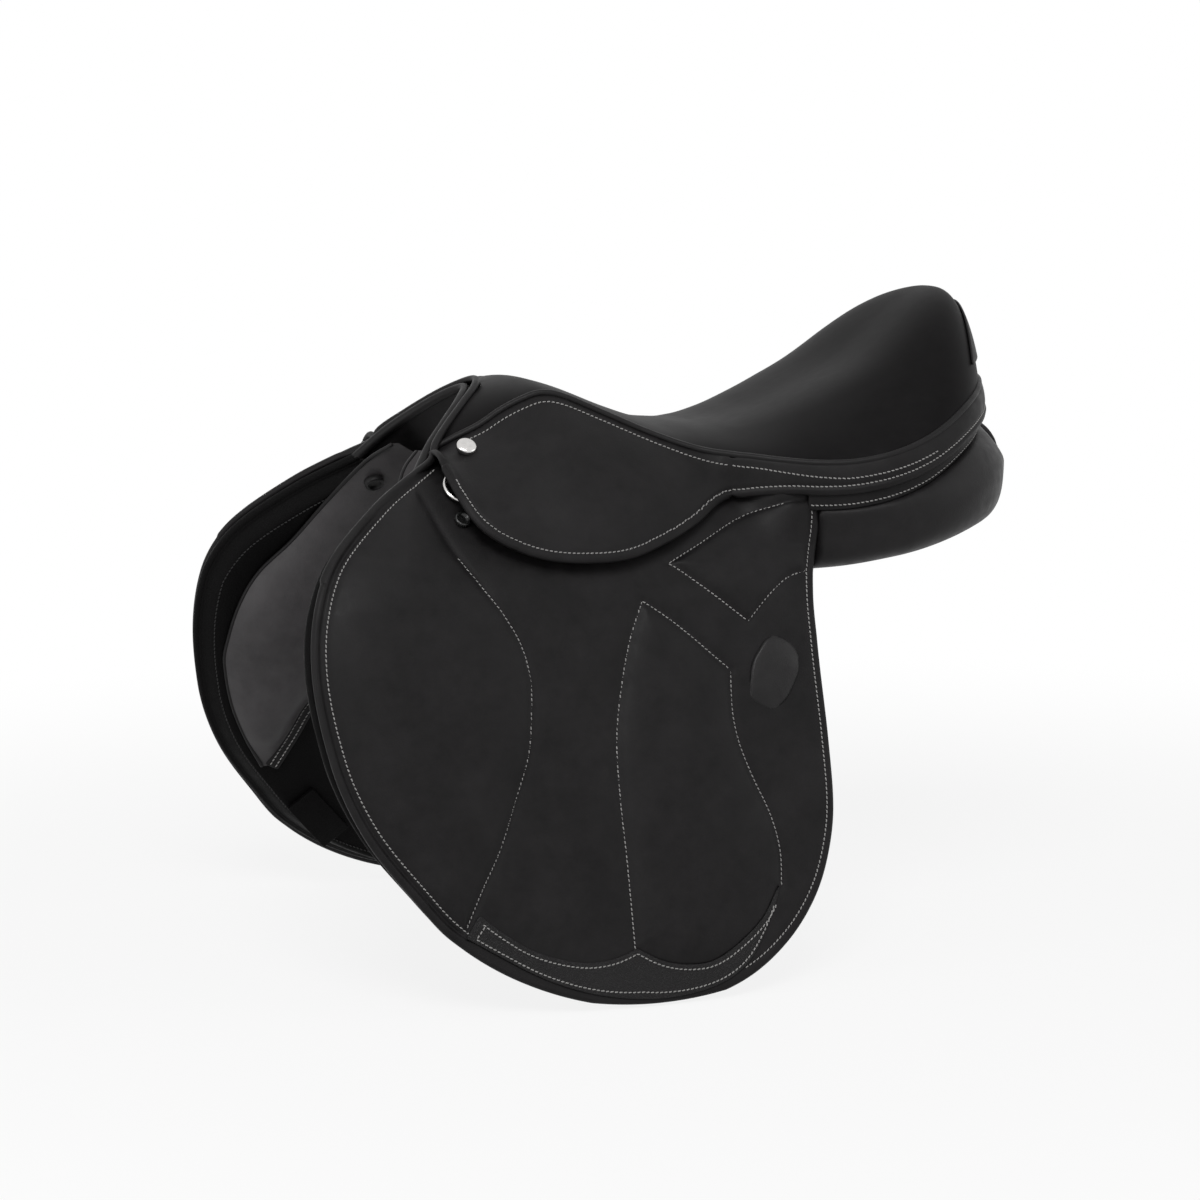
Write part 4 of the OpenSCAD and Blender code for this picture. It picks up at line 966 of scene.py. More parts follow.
def inside_edge(edge, grid, distance):
    """A line on a grid at a distance inside an edge, taken square to the edge."""
    normal = onto(edge, grid)[1]
    along = unit(np.gradient(edge, axis=0))
    inward = unit(np.cross(normal, along))
    middle = grid.reshape(-1, 3).mean(0)
    inward = inward * (-1 if ((middle - edge) * inward).sum() < 0 else 1)
    return onto(edge + distance * inward, grid)


low_run = inside_edge(skirt_edge[LOW_ROW_START:], skirt_outer, SKIRT_STITCH_IN - SKIRT_T / 2)
top_edge = resample(skirt_base[:, 0], 2.0)
top_run = inside_edge(top_edge[TOP_ROW_START:], skirt_outer, SKIRT_STITCH_DOWN)
skirt_mesh = slab(skirt_outer, skirt_inner, plain_rows=(-1,))
skirt_thread = stitches(low_run, top_run)


for side, s in SIDES:
    skirt = piece("skirt_leather_" + side, skirt_mesh, "leather", s, smooth_deg=CREASE_DEG)
    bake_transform(skirt)
    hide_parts("skirt_top_" + side, "skirt_" + side)
    thread = piece("skirt_stitching_" + side, skirt_thread, "thread", s)
    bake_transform(thread)
print("skirt", len(skirt.data.vertices), "points, stitching", len(thread.data.vertices))

# %% [markdown]
# The band round the cantle continues the skirts. It starts exactly on the end of each skirt's curve and
# narrows towards the back, with two rows of stitches. Below it a gusset joins seat and panel, with one row
# of stitches.

# %% Bands round the cantle
BAND_H, GUSSET_H = 34.5, 11.0
BAND_SHARES = [(0.47, 0.855), (0.482, 0.823), (0.513, 0.739), (0.543, 0.678), (0.571, 0.641),
               (0.602, 0.626), (0.667, 0.607), (0.736, 0.606), (0.815, 0.603), (0.863, 0.603),
               (0.93, 0.62), (1, 0.64)]
BAND_ROW_DOWN = [(0, 5.0), (20, 5.0), (55, 7.2), (80, 8.6), (300, 9.0)]
BAND_FADE = [(FRONT_SHARE, 1), (0.53, 0.45), (0.6, 0), (1, 0)]
BAND_BULGE, HALF_ROWS = 1.2, 90


def band_out(t):
    """Outward direction of the seat's plan outline."""
    rear = (np.maximum(t - WIDE_SHARE, 0) * SEAT_L) / ((1 - WIDE_SHARE) * SEAT_L) ** 2
    return unit(np.stack([rear, np.maximum(seat_w(t), 1e-3) / SEAT_HALF_W ** 2], axis=-1))


def band_low(t):
    return welt_z(t) - BAND_H * smooth(BAND_SHARES, t)


skirt_end = skirt_pt(np.array(1.0), np.array([0.0, 1.0]), 0.0)
end_out = float(skirt_end[1, 1] - seat_w(np.array(FRONT_SHARE)))


def band_pt(t, side, v, d):
    """The band's surface at a share t of the seat's length and v of its own height."""
    t, side, v = np.broadcast_arrays(t, side, v)
    fade = smooth(BAND_FADE, t)
    top = [np.full_like(t, WELT_R + GAP), welt_z(t) - WELT_R]
    low_z = np.where(fade > 0, between(band_low(t), skirt_end[1, 2], fade ** 3), band_low(t))
    low = [between(SKIRT_T, end_out, fade), low_z]
    curve, chord = hang(top, low, between(BAND_BULGE, SKIRT_BULGE * SKIRT_BULGE_SHARES[-1][1], fade), v)
    out = band_out(t)
    reach, up = curve[0] + d * chord[..., 0], curve[1] + d * chord[..., 1]
    return points(seat_x(t) + reach * out[..., 0], side * (seat_w(t) + reach * out[..., 1]), up)


half_way = between(FRONT_SHARE, 1, np.sin(np.pi / 2 * np.linspace(0, 1, HALF_ROWS)))
round_t = np.concatenate([half_way, half_way[-2::-1]])[:, None]
round_side = np.concatenate([np.full(HALF_ROWS, -1.0), np.full(HALF_ROWS - 1, 1.0)])[:, None]
band_ends = band_pt(round_t, round_side, np.array([[0.0, 1.0]]), 0.0)
band_fall = np.linalg.norm(np.diff(band_ends, axis=1), axis=2)
band_v = np.linspace(0, 1, 24)[None, :] * (1 - SKIRT_T / 2 / band_fall)
band_drop = np.linalg.norm(np.diff(band_pt(round_t, round_side, band_v, 0.0), axis=1), axis=2).cumsum(1)
from_low = band_drop[:, -1:] - np.concatenate([np.zeros_like(band_drop[:, :1]), band_drop], axis=1)
band_grid = band_pt(round_t, round_side, band_v, edge_relief(from_low))
band_mesh = slab(band_grid, band_pt(round_t, round_side, band_v, -SKIRT_T), plain_rows=(0, -1))
band = piece("cantle_leather", band_mesh, "leather", smooth_deg=CREASE_DEG)
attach(band, ROOT)
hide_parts("cantle_band")
print("band", len(band.data.vertices), "points")

# %% Gusset and rows of stitches
GUSSET_SWELL, GUSSET_LAP, GUSSET_TUCK, GUSSET_STITCH_IN, GUSSET_SKIP = 1.6, 4.0, 1.2, 2.4, 13
BAND_ROW_END, NEAR_HALF = 141.0, 0.48


def row_at(grid, distance, from_last):
    """Points on a grid at a distance, the same or one for each row, from its first or last column."""
    run, normals = [], grid_normals(grid)
    grid, normals = (grid[:, ::-1], normals[:, ::-1]) if from_last else (grid, normals)
    for row, normal, distance in zip(grid, normals, np.broadcast_to(distance, len(grid))):
        length = way_along(row)
        at = min(distance, NEAR_HALF * length[-1])
        run.append(np.concatenate([[np.interp(at, length, row[:, i]) for i in range(3)],
                                   [np.interp(at, length, normal[:, i]) for i in range(3)]]))
    run = np.array(run)
    return run[:, :3], run[:, 3:]


def part_of(run, first, last):
    return run[0][first:last], run[1][first:last]


gusset_v = np.linspace(0, 1, 12)[None, :]
gusset_j = slice(GUSSET_SKIP, -GUSSET_SKIP)


def gusset_pt(v, d):
    t, side = round_t[gusset_j], round_side[gusset_j]
    out = band_out(t) * np.ones(v.shape + (1,))
    swell = d + GUSSET_SWELL * np.sin(np.pi * v)
    up = between(band_low(t) + GUSSET_LAP, band_low(t) - GUSSET_H + GUSSET_TUCK, v)
    return points(seat_x(t) + swell * out[..., 0], side * (seat_w(t) + swell * out[..., 1]), up)


gusset_grid = gusset_pt(gusset_v, -GAP)
gusset = piece("cantle_gusset", slab(gusset_grid, gusset_pt(gusset_v, -GAP - COVER_T)), "leather")
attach(gusset, ROOT)
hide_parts("gusset_band")
row_down = np.interp(seat_x(round_t[:, 0]), *np.transpose(BAND_ROW_DOWN))
high_row = row_at(band_grid, row_down, False)
high_end = int(np.argmax(seat_x(half_way) > BAND_ROW_END))
band_thread = piece("cantle_stitching", stitches(
    row_at(band_grid, SKIRT_STITCH_IN - SKIRT_T / 2, True),
    part_of(high_row, 0, high_end), part_of(high_row, -high_end, None),
    row_at(gusset_grid, GUSSET_STITCH_IN, True)), "thread")
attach(band_thread, ROOT)
print("gusset", len(gusset.data.vertices), "points, stitching", len(band_thread.data.vertices))

# %% [markdown]
# The flap is the largest piece. It is a sheet of leather with three pads quilted into it: one under the
# knee, one under the thigh and one at the rear corner. A real pad is highest in its middle and falls to its
# seam, so the height of the surface is worked out from the distance to the nearest seam, and each seam cuts
# a narrow groove.

# %% Flap pattern
FLAP_COLS, FLAP_ROWS, FLAP_TOP_ROWS = 176, 190, 34
EDGE_IN, LOW_SAG = FLAP_T / 2, 4.0
STITCH_IN, REAR_STITCH_IN, BINDING_W, BINDING_GROOVE, BINDING_BEAD = 9.2, 5.5, 5.9, 2.1, 1.0
BEAD_IN, BEAD_W, BINDING_GROOVE_W = 2.8, 2.0, 1.5
BINDING_LOW_Z, BINDING_FADE = -206.0, 8.0
KNEE_H, THIGH_H, CORNER_H = 8.0, 6.5, 4.6
KNEE_SOFT, THIGH_SOFT, CORNER_SOFT, PAD_ROUND = 21.0, 16.0, 8.0, 0.8
FRONT_TOP_Z, REAR_TOP_Z, ROW_EASE = 96.0, 66.0, 1.6
FRONT_ROW, KNEE_ROW, REAR_ROW = (-203, 88), (-205, 34), (-238, 62)
KNEE_EDGE, CORNER_EDGE = (-198, 90), (15, 61)
KNEE_SEAM = [(-222, 79), (-208, 41), (-192, 16), (-179, -3), (-169, -23), (-165, -45), (-167, -68),
             (-172, -93), (-184, -120), (-198, -150), (-213, -174), (-227, -198)]
MID_SEAM = [(-80, 1), (-92, -24), (-102, -55), (-109, -87), (-111, -125), (-111, -163), (-112, -221)]
THIGH_TOP = [(-80, 1), (-58, -15), (-22, -47)]
THIGH_SEAM = [(-22, -47), (-24, -73), (-22, -93), (-15, -116), (-5, -142), (-1, -165), (-3, -189)]
CORNER_TOP = [(-56, 24), (-31, 35), (3, 50), (42, 61)]
CORNER_FRONT = [(-56, 24), (-5, -16)]
CORNER_LOW = [(-5, -16), (12, 0), (28, 11), (43, 15)]
CRESCENT_LEFT = [(-217, -190), (-205, -200), (-186, -213), (-166, -221), (-146, -225), (-128, -224),
                 (-111, -219)]
CRESCENT_RIGHT = [(-111, -219), (-94, -228), (-76, -232), (-58, -231), (-39, -222), (-19, -207),
                  (-6, -189)]
CRESCENT_LOW = [(-227, -203), (-207, -215), (-181, -230), (-155, -241), (-128, -248), (-100, -251),
                (-71, -249), (-49, -243), (-33, -233), (-20, -217), (-10, -199), (-5, -187)]


def on_pattern(hand_points):
    return spline(to_pattern(hand_points))


edge_z = HINGE_Z + (-FLAP_DROP - HINGE_Z) * (1 - (1 - np.linspace(0, 1, 150)) ** ROW_EASE)
upper_z = np.linspace(FRONT_TOP_Z, HINGE_Z, 40)[:-1]
front_z = np.concatenate([upper_z, edge_z])
front_line = to_pattern(np.stack([flap_front(front_z), front_z], axis=-1))
rear_z = np.concatenate([np.linspace(REAR_TOP_Z, HINGE_Z, 24)[:-1], edge_z])
rear_line = to_pattern(np.stack([flap_rear(rear_z), rear_z], axis=-1))
front_stitch = shifted(resample(front_line, 2.0), STITCH_IN)
rear_stitch = shifted(resample(rear_line, 2.0), -REAR_STITCH_IN)
SEAMS = [on_pattern(line) for line in (KNEE_SEAM, MID_SEAM, THIGH_SEAM, THIGH_TOP, CORNER_TOP, CORNER_FRONT,
                                       CORNER_LOW)]
knee, mid, thigh, thigh_top, corner_top, corner_front, corner_low = SEAMS
crescent_left, crescent_right = on_pattern(CRESCENT_LEFT), on_pattern(CRESCENT_RIGHT)


def cut(line, low_z, high_z):
    """The part of a pattern line between two heights."""
    z = from_pattern(line)[:, 1]
    return line[(z >= low_z) & (z <= high_z)]


knee_edge = cut(front_stitch, *KNEE_EDGE)
corner_edge = cut(rear_stitch, *CORNER_EDGE)
corner_outline = np.concatenate([corner_top, corner_edge, corner_low[::-1], corner_front[::-1]])
PADS = [(np.concatenate([knee_edge, knee[::-1]]), KNEE_H, KNEE_SOFT),
        (np.concatenate([mid, crescent_right, thigh[::-1], thigh_top[::-1]]), THIGH_H, THIGH_SOFT),
        (corner_outline, CORNER_H, CORNER_SOFT)]
print("pads on the flap:", len(PADS), "seams:", len(SEAMS))

# %% Flap surface
SEAM_DEPTH, SEAM_WIDTH, ROW_DEPTH, ROW_WIDTH = 0.9, 2.3, 0.4, 1.8
UPRIGHT_RUN, UPRIGHT_HALF_W, UPRIGHT_LEAN, UPRIGHT_LOW_Z, UPRIGHT_BACK = 46.0, 127.3, 0.1, 30.0, 0.39
TOP_EDGE = [(-220, 96), (-206, 99), (-188, 98), (-171, 86), (-168, 50), (-53, 50), (-47, 62), (-30, 69),
            (0, 71), (56, 71)]
TOP_IN, LEAST_TOP, LOW_ROUND_START = 1.5, 0.3, 0.85
TUCK_SHARE, TUCK_Z, TUCK_X, TUCK_RUN = 0.5, 80.0, -224.0, 18.0


def within(spots, polygon):
    """Which spots lie inside a polygon."""
    x, y = spots[..., 0], spots[..., 1]
    odd = np.zeros(x.shape, bool)
    for (xa, ya), (xb, yb) in zip(polygon, np.roll(polygon, -1, axis=0)):
        crosses = (ya > y) != (yb > y)
        odd ^= crosses & (x < (xb - xa) * (y - ya) / (yb - ya if yb != ya else 1e-9) + xa)
    return odd


def relief(x, z):
    """Height of the padded leather over the flap's plain face."""
    spots = to_pattern(np.stack([x, z], axis=-1))
    height = np.zeros(spots.shape[:-1])
    for outline, rise, softness in PADS:
        depth = line_distance(spots, np.concatenate([outline, outline[:1]]))
        height = np.where(within(spots, outline), rise * (1 - np.exp(-depth / softness)) ** PAD_ROUND, height)
    for seam in SEAMS:
        height = height - SEAM_DEPTH * np.exp(-(line_distance(spots, seam) / SEAM_WIDTH) ** 2)
    for row in (front_stitch, rear_stitch):
        height = height - ROW_DEPTH * np.exp(-(line_distance(spots, row) / ROW_WIDTH) ** 2)
    from_edge = line_distance(spots, front_line)
    bound = BINDING_BEAD * np.exp(-((from_edge - BEAD_IN) / BEAD_W) ** 2)
    bound = bound - BINDING_GROOVE * np.exp(-((from_edge - BINDING_W) / BINDING_GROOVE_W) ** 2)
    return height + bound * np.clip((z - BINDING_LOW_Z) / BINDING_FADE, 0, 1)


def flap_pt(x, z, d):
    """A point of the flap. Its top rear corner stands out to the band and leaves the arch."""
    share = np.clip(np.asarray(x, float) / UPRIGHT_RUN, 0, 1)
    corner_y = UPRIGHT_HALF_W - UPRIGHT_LEAN * (z - UPRIGHT_LOW_Z)
    upright = np.maximum(corner_y - side_y(z), 0) * (z > UPRIGHT_LOW_Z)
    upright = upright * share * share * (3 - 2 * share)
    made = side_pt(x, z, d)
    made[..., 0] -= UPRIGHT_BACK * upright
    made[..., 1] += upright
    return made


def flap_top_z(x):
    """Upper edge of the flap, with the notch that lets the stirrup bar through."""
    under_front = np.interp(x, flap_front(upper_z)[::-1], upper_z[::-1])
    return np.minimum(under_front, np.interp(x, *np.transpose(TOP_EDGE)))


flap_u = np.linspace(0, 1, FLAP_COLS)
flap_u = between(flap_u, 0.5 - 0.5 * np.cos(np.pi * flap_u), 0.35)[None, :]
low_share = np.linspace(0, 1, FLAP_ROWS)[:, None]
low_z = HINGE_Z + (-FLAP_DROP + LOW_SAG + EDGE_IN - HINGE_Z) * (1 - (1 - low_share) ** ROW_EASE)
low_x = between(flap_front(low_z) + EDGE_IN, flap_rear(low_z) - EDGE_IN, flap_u)
low_bow = np.clip((low_share - LOW_ROUND_START) / (1 - LOW_ROUND_START), 0, 1) ** 2
low_z = low_z - LOW_SAG * 4 * flap_u * (1 - flap_u) * low_bow
top_x = np.broadcast_to(low_x[0], (FLAP_TOP_ROWS, FLAP_COLS))
top_reach = np.maximum(flap_top_z(top_x) - HINGE_Z - TOP_IN, LEAST_TOP)
top_z = HINGE_Z + top_reach * np.linspace(1, 0, FLAP_TOP_ROWS, endpoint=False)[:, None]
top_x = top_x + (flap_rear(top_z) - flap_rear(HINGE_Z)) * np.clip(5 * flap_u - 4, 0, 1) ** 2
flap_x = np.concatenate([top_x, low_x])
flap_z = np.concatenate([top_z, np.broadcast_to(low_z, low_x.shape)])
flap_tuck = TUCK_SHARE * np.maximum(flap_z - TUCK_Z, 0) * np.clip((flap_x - TUCK_X) / TUCK_RUN, 0, 1)
flap_height = relief(flap_x, flap_z) - flap_tuck
flap_mesh = slab(flap_pt(flap_x, flap_z, flap_height), flap_pt(flap_x, flap_z, -FLAP_T - flap_tuck))
print("flap grid", flap_x.shape, "highest pad", round(float(flap_height.max()), 2), "mm")

# %% Flap stitching


def flap_run(line):
    """A run of stitches that follows a line of the flap's pattern."""
    x, z = from_pattern(resample(line, RUN_STEP)).T
    return flap_pt(x, z, relief(x, z) + THREAD_OFF), side_normal(z)


flap_thread = stitches(*[flap_run(line) for line in (
    cut(front_stitch, *FRONT_ROW), cut(knee, *KNEE_ROW), mid, thigh_top, thigh,
    corner_top, corner_front, corner_low, cut(rear_stitch, *REAR_ROW))])
for side, s in SIDES:
    flap = piece("flap_leather_" + side, flap_mesh, "leather", s)
    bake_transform(flap)
    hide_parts("flap_top_" + side, "flap_" + side, "knee_pad_" + side, "thigh_pad_" + side)
    thread = piece("flap_stitching_" + side, flap_thread, "thread", s)
    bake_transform(thread)
print("flap", len(flap.data.vertices), "points, stitching", len(thread.data.vertices))

# %% [markdown]
# Along the flap's lower edge lies a crescent of pebbled leather that takes the rub of the stirrup iron. Its
# upper edge has a cusp where the two halves meet. Behind the thigh pad sits a small smooth oval plate with
# its two ends chamfered.

# %% Crescent and oval plate
PATCH_T, PATCH_LIFT, PATCH_STITCH_IN, PATCH_RUN = 1.5, 0.1, 3.2, (0.02, 0.98)
crescent_top = np.concatenate([crescent_left, crescent_right[1:]])
share_c = np.linspace(0, 1, 150)


def even(line, count_share):
    """Points of a flat line at shares of its length."""
    length = way_along(line)
    return np.stack([np.interp(count_share * length[-1], length, line[:, i]) for i in (0, 1)], axis=-1)


crescent_low = even(on_pattern(CRESCENT_LOW), share_c)
crescent_up = even(crescent_top, share_c)
patch = between(crescent_up[:, None], crescent_low[:, None], np.linspace(*PATCH_RUN, 14)[None, :, None])
patch_x, patch_z = np.moveaxis(from_pattern(patch), -1, 0)
crescent_grid = side_pt(patch_x, patch_z, PATCH_T)
crescent_mesh = slab(crescent_grid, side_pt(patch_x, patch_z, PATCH_LIFT))


def patch_run(line):
    x, z = from_pattern(resample(line, RUN_STEP)).T
    return side_pt(x, z, PATCH_T + THREAD_OFF / 2), side_normal(z)


crescent_thread = stitches(patch_run(shifted(resample(crescent_top, RUN_STEP), -PATCH_STITCH_IN)[3:-6]),
                           patch_run(between(patch[3:-8, -1], patch[3:-8, 0], 0.12)),
                           patch_run(between(patch[4, 0], patch[3, -1], np.linspace(0.2, 0.85, 12)[:, None])))

PLATE_X, PLATE_Z = 9.5, -50.0
PLATE_OUTLINE = [(3, 23.8), (12.2, 20.2), (18.3, 12.2), (18.6, 2.2), (13.7, -7.9), (6.1, -18), (-3, -23.8),
                 (-10.7, -21.6), (-18.8, -15.8), (-18.3, -5), (-15.3, 6.5), (-9.2, 15.1), (-3, 21.6),
                 (3, 23.8)]
PLATE_RINGS = [(1.0, 0.1), (1.0, 0.9), (0.94, 1.7), (0.9, 1.9), (0.5, 2.2), (0.05, 2.3)]
PLATE_AXIS, CHAMFER_D, CHAMFER_AT, CHAMFER_RUN = (0.62, 0.78), 1.2, 12.0, 9.0
plate_shape = resample(spline(PLATE_OUTLINE, 0.5), 2.0)[:-1]
plate_way = plate_shape @ np.array(PLATE_AXIS)


def plate_ring(share, height):
    """One ring of the plate. All but its foot is let down towards the two chamfered ends."""
    past = np.maximum(np.abs(share * plate_way) - CHAMFER_AT, 0) / CHAMFER_RUN
    top = height - CHAMFER_D * past * (height > PATCH_LIFT)
    return side_pt(PLATE_X + share * plate_shape[:, 0], PLATE_Z + share * plate_shape[:, 1], top)


plate_verts = np.concatenate([plate_ring(share, height) for share, height in PLATE_RINGS])
plate_mesh = plate_verts, ring_faces(len(PLATE_RINGS), len(plate_shape))
for side, s in SIDES:
    for name, mesh_parts, finish, slot, node in (
            ("crescent_leather_", crescent_mesh, "grained_leather", "grained_leather", "crescent_patch_"),
            ("crescent_stitching_", crescent_thread, "thread", "leather", None),
            ("oval_plate_", plate_mesh, "badge_leather", "leather", "badge_patch_")):
        made = piece(name + side, mesh_parts, finish, s)
        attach(made, "flap_" + side)
        if node:
            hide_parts(node + side)
print("crescent", len(crescent_mesh[0]), "points")

# %% [markdown]
# Behind the flap hangs the sweat flap, pebbled leather with a rolled edge that shows just outside the
# flap's front edge. On its inner side lies the panel, a soft pad that fits the horse. The front panel is
# full in its middle and falls to a piped seam, and ends below in a double-stitched strip. The rear panels
# are round cushions under the cantle.

# %% Sweat flaps
SWEAT_DEPTH, SWEAT_T, SWEAT_SCALE, ROLL_R = 22.0, 4.0, 0.965, 4.0
SWEAT_TOP_SHARE, SWEAT_LOW_K, SWEAT_REAR_SHARE, SWEAT_STITCH_IN = 0.62, 0.05, 0.985, 9.0
SWEAT_FLARE, FLARE_REACH, ROLL_IN, ROLL_STEP, SWEAT_COL_EASE = 11.5, 8.0, 1.0, 2.5, 1.5
HEAD_X, HEAD_L, HEAD_LOW_SHARE, HEAD_RUN_SHARE = float(seat_x(0.107)), 34.0, 0.27, 0.15
sweat_k = np.linspace(float(flap_k(SWEAT_TOP_SHARE * ARCH_H)), SWEAT_LOW_K, 130)
sweat_row = sweat_k ** 2 * (FLAP_DROP + FLAP_RISE) - FLAP_DROP
sweat_low = np.where(sweat_row < 0, SWEAT_SCALE * sweat_row, sweat_row)
sweat_front = flap_front(sweat_row) + GAP
sweat_back = np.minimum(flap_rear(sweat_row) - FLAP_T, FLAP_X + SWEAT_REAR_SHARE * FLAP_W)
at_head = np.clip((sweat_row / ARCH_H - HEAD_LOW_SHARE) / HEAD_RUN_SHARE, 0, 1)
sweat_rear = between(sweat_back, HEAD_X + HEAD_L, at_head)
sweat_u = np.linspace(0, 1, 90)[None, :] ** SWEAT_COL_EASE
sweat_x = between(sweat_front[:, None] + SWEAT_T / 2, sweat_rear[:, None] - SWEAT_T / 2, sweat_u)
sweat_z = np.broadcast_to(sweat_low[:, None], sweat_x.shape)
sweat_flare = SWEAT_FLARE * np.exp(-((sweat_x - sweat_front[:, None]) / FLARE_REACH) ** 2)
sweat_mesh = slab(side_pt(sweat_x, sweat_z, -SWEAT_DEPTH + sweat_flare),
                  side_pt(sweat_x, sweat_z, -SWEAT_DEPTH - SWEAT_T + sweat_flare))
roll_line = resample(np.stack([sweat_front, sweat_low], axis=-1)[:-1], ROLL_STEP)
roll_mesh = tube(side_pt(roll_line[:, 0] + ROLL_IN, roll_line[:, 1], -SWEAT_DEPTH + SWEAT_FLARE), ROLL_R)
sweat_edge = to_pattern(roll_line)


def inner_run(line, depth):
    """Stitches on the side that faces the horse."""
    x, z = from_pattern(resample(line, RUN_STEP)).T
    return side_pt(x, z, depth), -side_normal(z)


sweat_thread = stitches(inner_run(shifted(sweat_edge, SWEAT_STITCH_IN), -SWEAT_DEPTH - SWEAT_T - THREAD_OFF))
# The sweat flap and its roll take the darker leather, which is painted shade behind the flap.
for side, s in SIDES:
    for name, mesh_parts, finish, slot, node in (
            ("sweat_leather_", sweat_mesh, "sweat_leather", "grained_leather", "sweat_flap_"),
            ("sweat_roll_", roll_mesh, "sweat_leather", "leather", None),
            ("sweat_stitching_", sweat_thread, "dark_thread", "leather", None)):
        made = piece(name + side, mesh_parts, finish, s)
        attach(made, ROOT)
        if node:
            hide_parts(node + side)
print("sweat flap", len(sweat_mesh[0]), "points")

# %% Front panels
PANEL_D, PANEL_T, PANEL_SOFT, PANEL_EASE = SWEAT_DEPTH + SWEAT_T + 3 * GAP, 24.0, 15.0, 34.0
PANEL_TOP_SHARE, PANEL_LOW_SHARE, PANEL_RIM_SHARE, PANEL_END_SHARE = 0.458, -0.566, 0.08, 0.12
PANEL_TOP_RUN, PANEL_LOW_RUN, PANEL_THIN_SHARE, THIN_FROM, THIN_RUN = 0.06, 0.10, 0.5, 0.2, 0.6
STRIP_RUN, STRIP_W, STRIP_T, STRIP_ROWS = (-0.565, -0.2), 9.0, 2.2, (2.2, 6.8)
PIPING_R, PIPING_IN = 1.5, 1.0
PANEL_FRONT_SHARES = [(-0.567, 0.145), (-0.469, 0.104), (-0.358, 0.07), (-0.232, 0.05), (-0.173, 0.053),
                      (-0.055, 0.073), (0.051, 0.109), (0.15, 0.165), (0.268, 0.213), (0.378, 0.258),
                      (0.42, 0.28), (0.46, 0.315)]
PANEL_BACK_SHARES = [(-0.567, 0.155), (-0.472, 0.193), (-0.382, 0.227), (-0.276, 0.291), (-0.177, 0.37),
                     (-0.098, 0.482), (-0.039, 0.608), (0.02, 0.818), (0.055, 1.01), (0.1, 1.03),
                     (0.2, 1.0), (0.26, 0.85), (0.3, 0.64), (0.34, 0.51), (0.38, 0.43), (0.42, 0.375),
                     (0.46, 0.325)]


def panel_side(shares, z):
    """An edge of the front panel at a height, as a place along the saddle."""
    return FLAP_X + FLAP_W * smooth(shares, z / FLAP_DROP)


panel_share = np.linspace(PANEL_TOP_SHARE, PANEL_LOW_SHARE, 114)[:, None]
panel_z = FLAP_DROP * panel_share
panel_u = (0.5 - 0.5 * np.cos(np.pi * np.linspace(0, 1, 64)))[None, :]
panel_a, panel_b = panel_side(PANEL_FRONT_SHARES, panel_z), panel_side(PANEL_BACK_SHARES, panel_z)
panel_x = between(panel_a, panel_b, panel_u)
panel_fade = np.clip((panel_z / ARCH_H - THIN_FROM) / THIN_RUN, 0, 1)
from_front, from_back = [1 - np.exp(-run / PANEL_SOFT) for run in (panel_x - panel_a, panel_b - panel_x)]
panel_full = between(PANEL_RIM_SHARE, 1, from_front * from_back)
panel_full = panel_full * between(1, PANEL_THIN_SHARE, panel_fade ** 2 * (3 - 2 * panel_fade))
low_end = np.clip((panel_share - PANEL_LOW_SHARE) / PANEL_LOW_RUN, PANEL_END_SHARE, 1)
top_end = np.clip((PANEL_TOP_SHARE - panel_share) / PANEL_TOP_RUN, PANEL_END_SHARE, 1)
panel_zz = np.broadcast_to(panel_z, panel_x.shape)
panel_deep = -PANEL_D - PANEL_T * panel_full * np.sqrt(low_end * top_end)
panel_inner = side_pt(panel_x, panel_zz, panel_deep, PANEL_EASE)
panel_mesh = slab(side_pt(panel_x, panel_zz, -PANEL_D, PANEL_EASE), panel_inner)
panel_edge = resample(side_pt(panel_a[:, 0], panel_z[:, 0], -PANEL_D - PIPING_IN, PANEL_EASE), ROLL_STEP)
strip_z = np.linspace(*STRIP_RUN, 60) * FLAP_DROP
strip_line = to_pattern(np.stack([panel_side(PANEL_BACK_SHARES, strip_z), strip_z], axis=-1))
strip_u = np.linspace(0, 1, 8)[None, :, None]
strip_grid = between(shifted(strip_line, -STRIP_W)[:, None], strip_line[:, None], strip_u)
strip_x, strip_zz = np.moveaxis(from_pattern(strip_grid), -1, 0)
strip_d = -PANEL_D + GAP
strip_mesh = slab(side_pt(strip_x, strip_zz, strip_d), side_pt(strip_x, strip_zz, strip_d - STRIP_T))
strip_thread = stitches(*[inner_run(shifted(strip_line, -inset), strip_d - STRIP_T - THREAD_OFF)
                          for inset in STRIP_ROWS])
# The front panels get the lighter leather, which is a painted highlight.
for side, s in SIDES:
    panel = piece("front_panel_" + side, panel_mesh, "front_panel_leather_painted_highlight", s)
    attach(panel, ROOT)
    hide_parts("panel_front_" + side)
    for name, mesh_parts, finish in (("panel_piping_", tube(panel_edge, PIPING_R, 8), "edge_leather"),
                                     ("panel_strip_", strip_mesh, "leather"),
                                     ("panel_stitching_", strip_thread, "thread")):
        made = piece(name + side, mesh_parts, finish, s)
        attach(made, ROOT)
print("front panel", len(panel.data.vertices), "points")

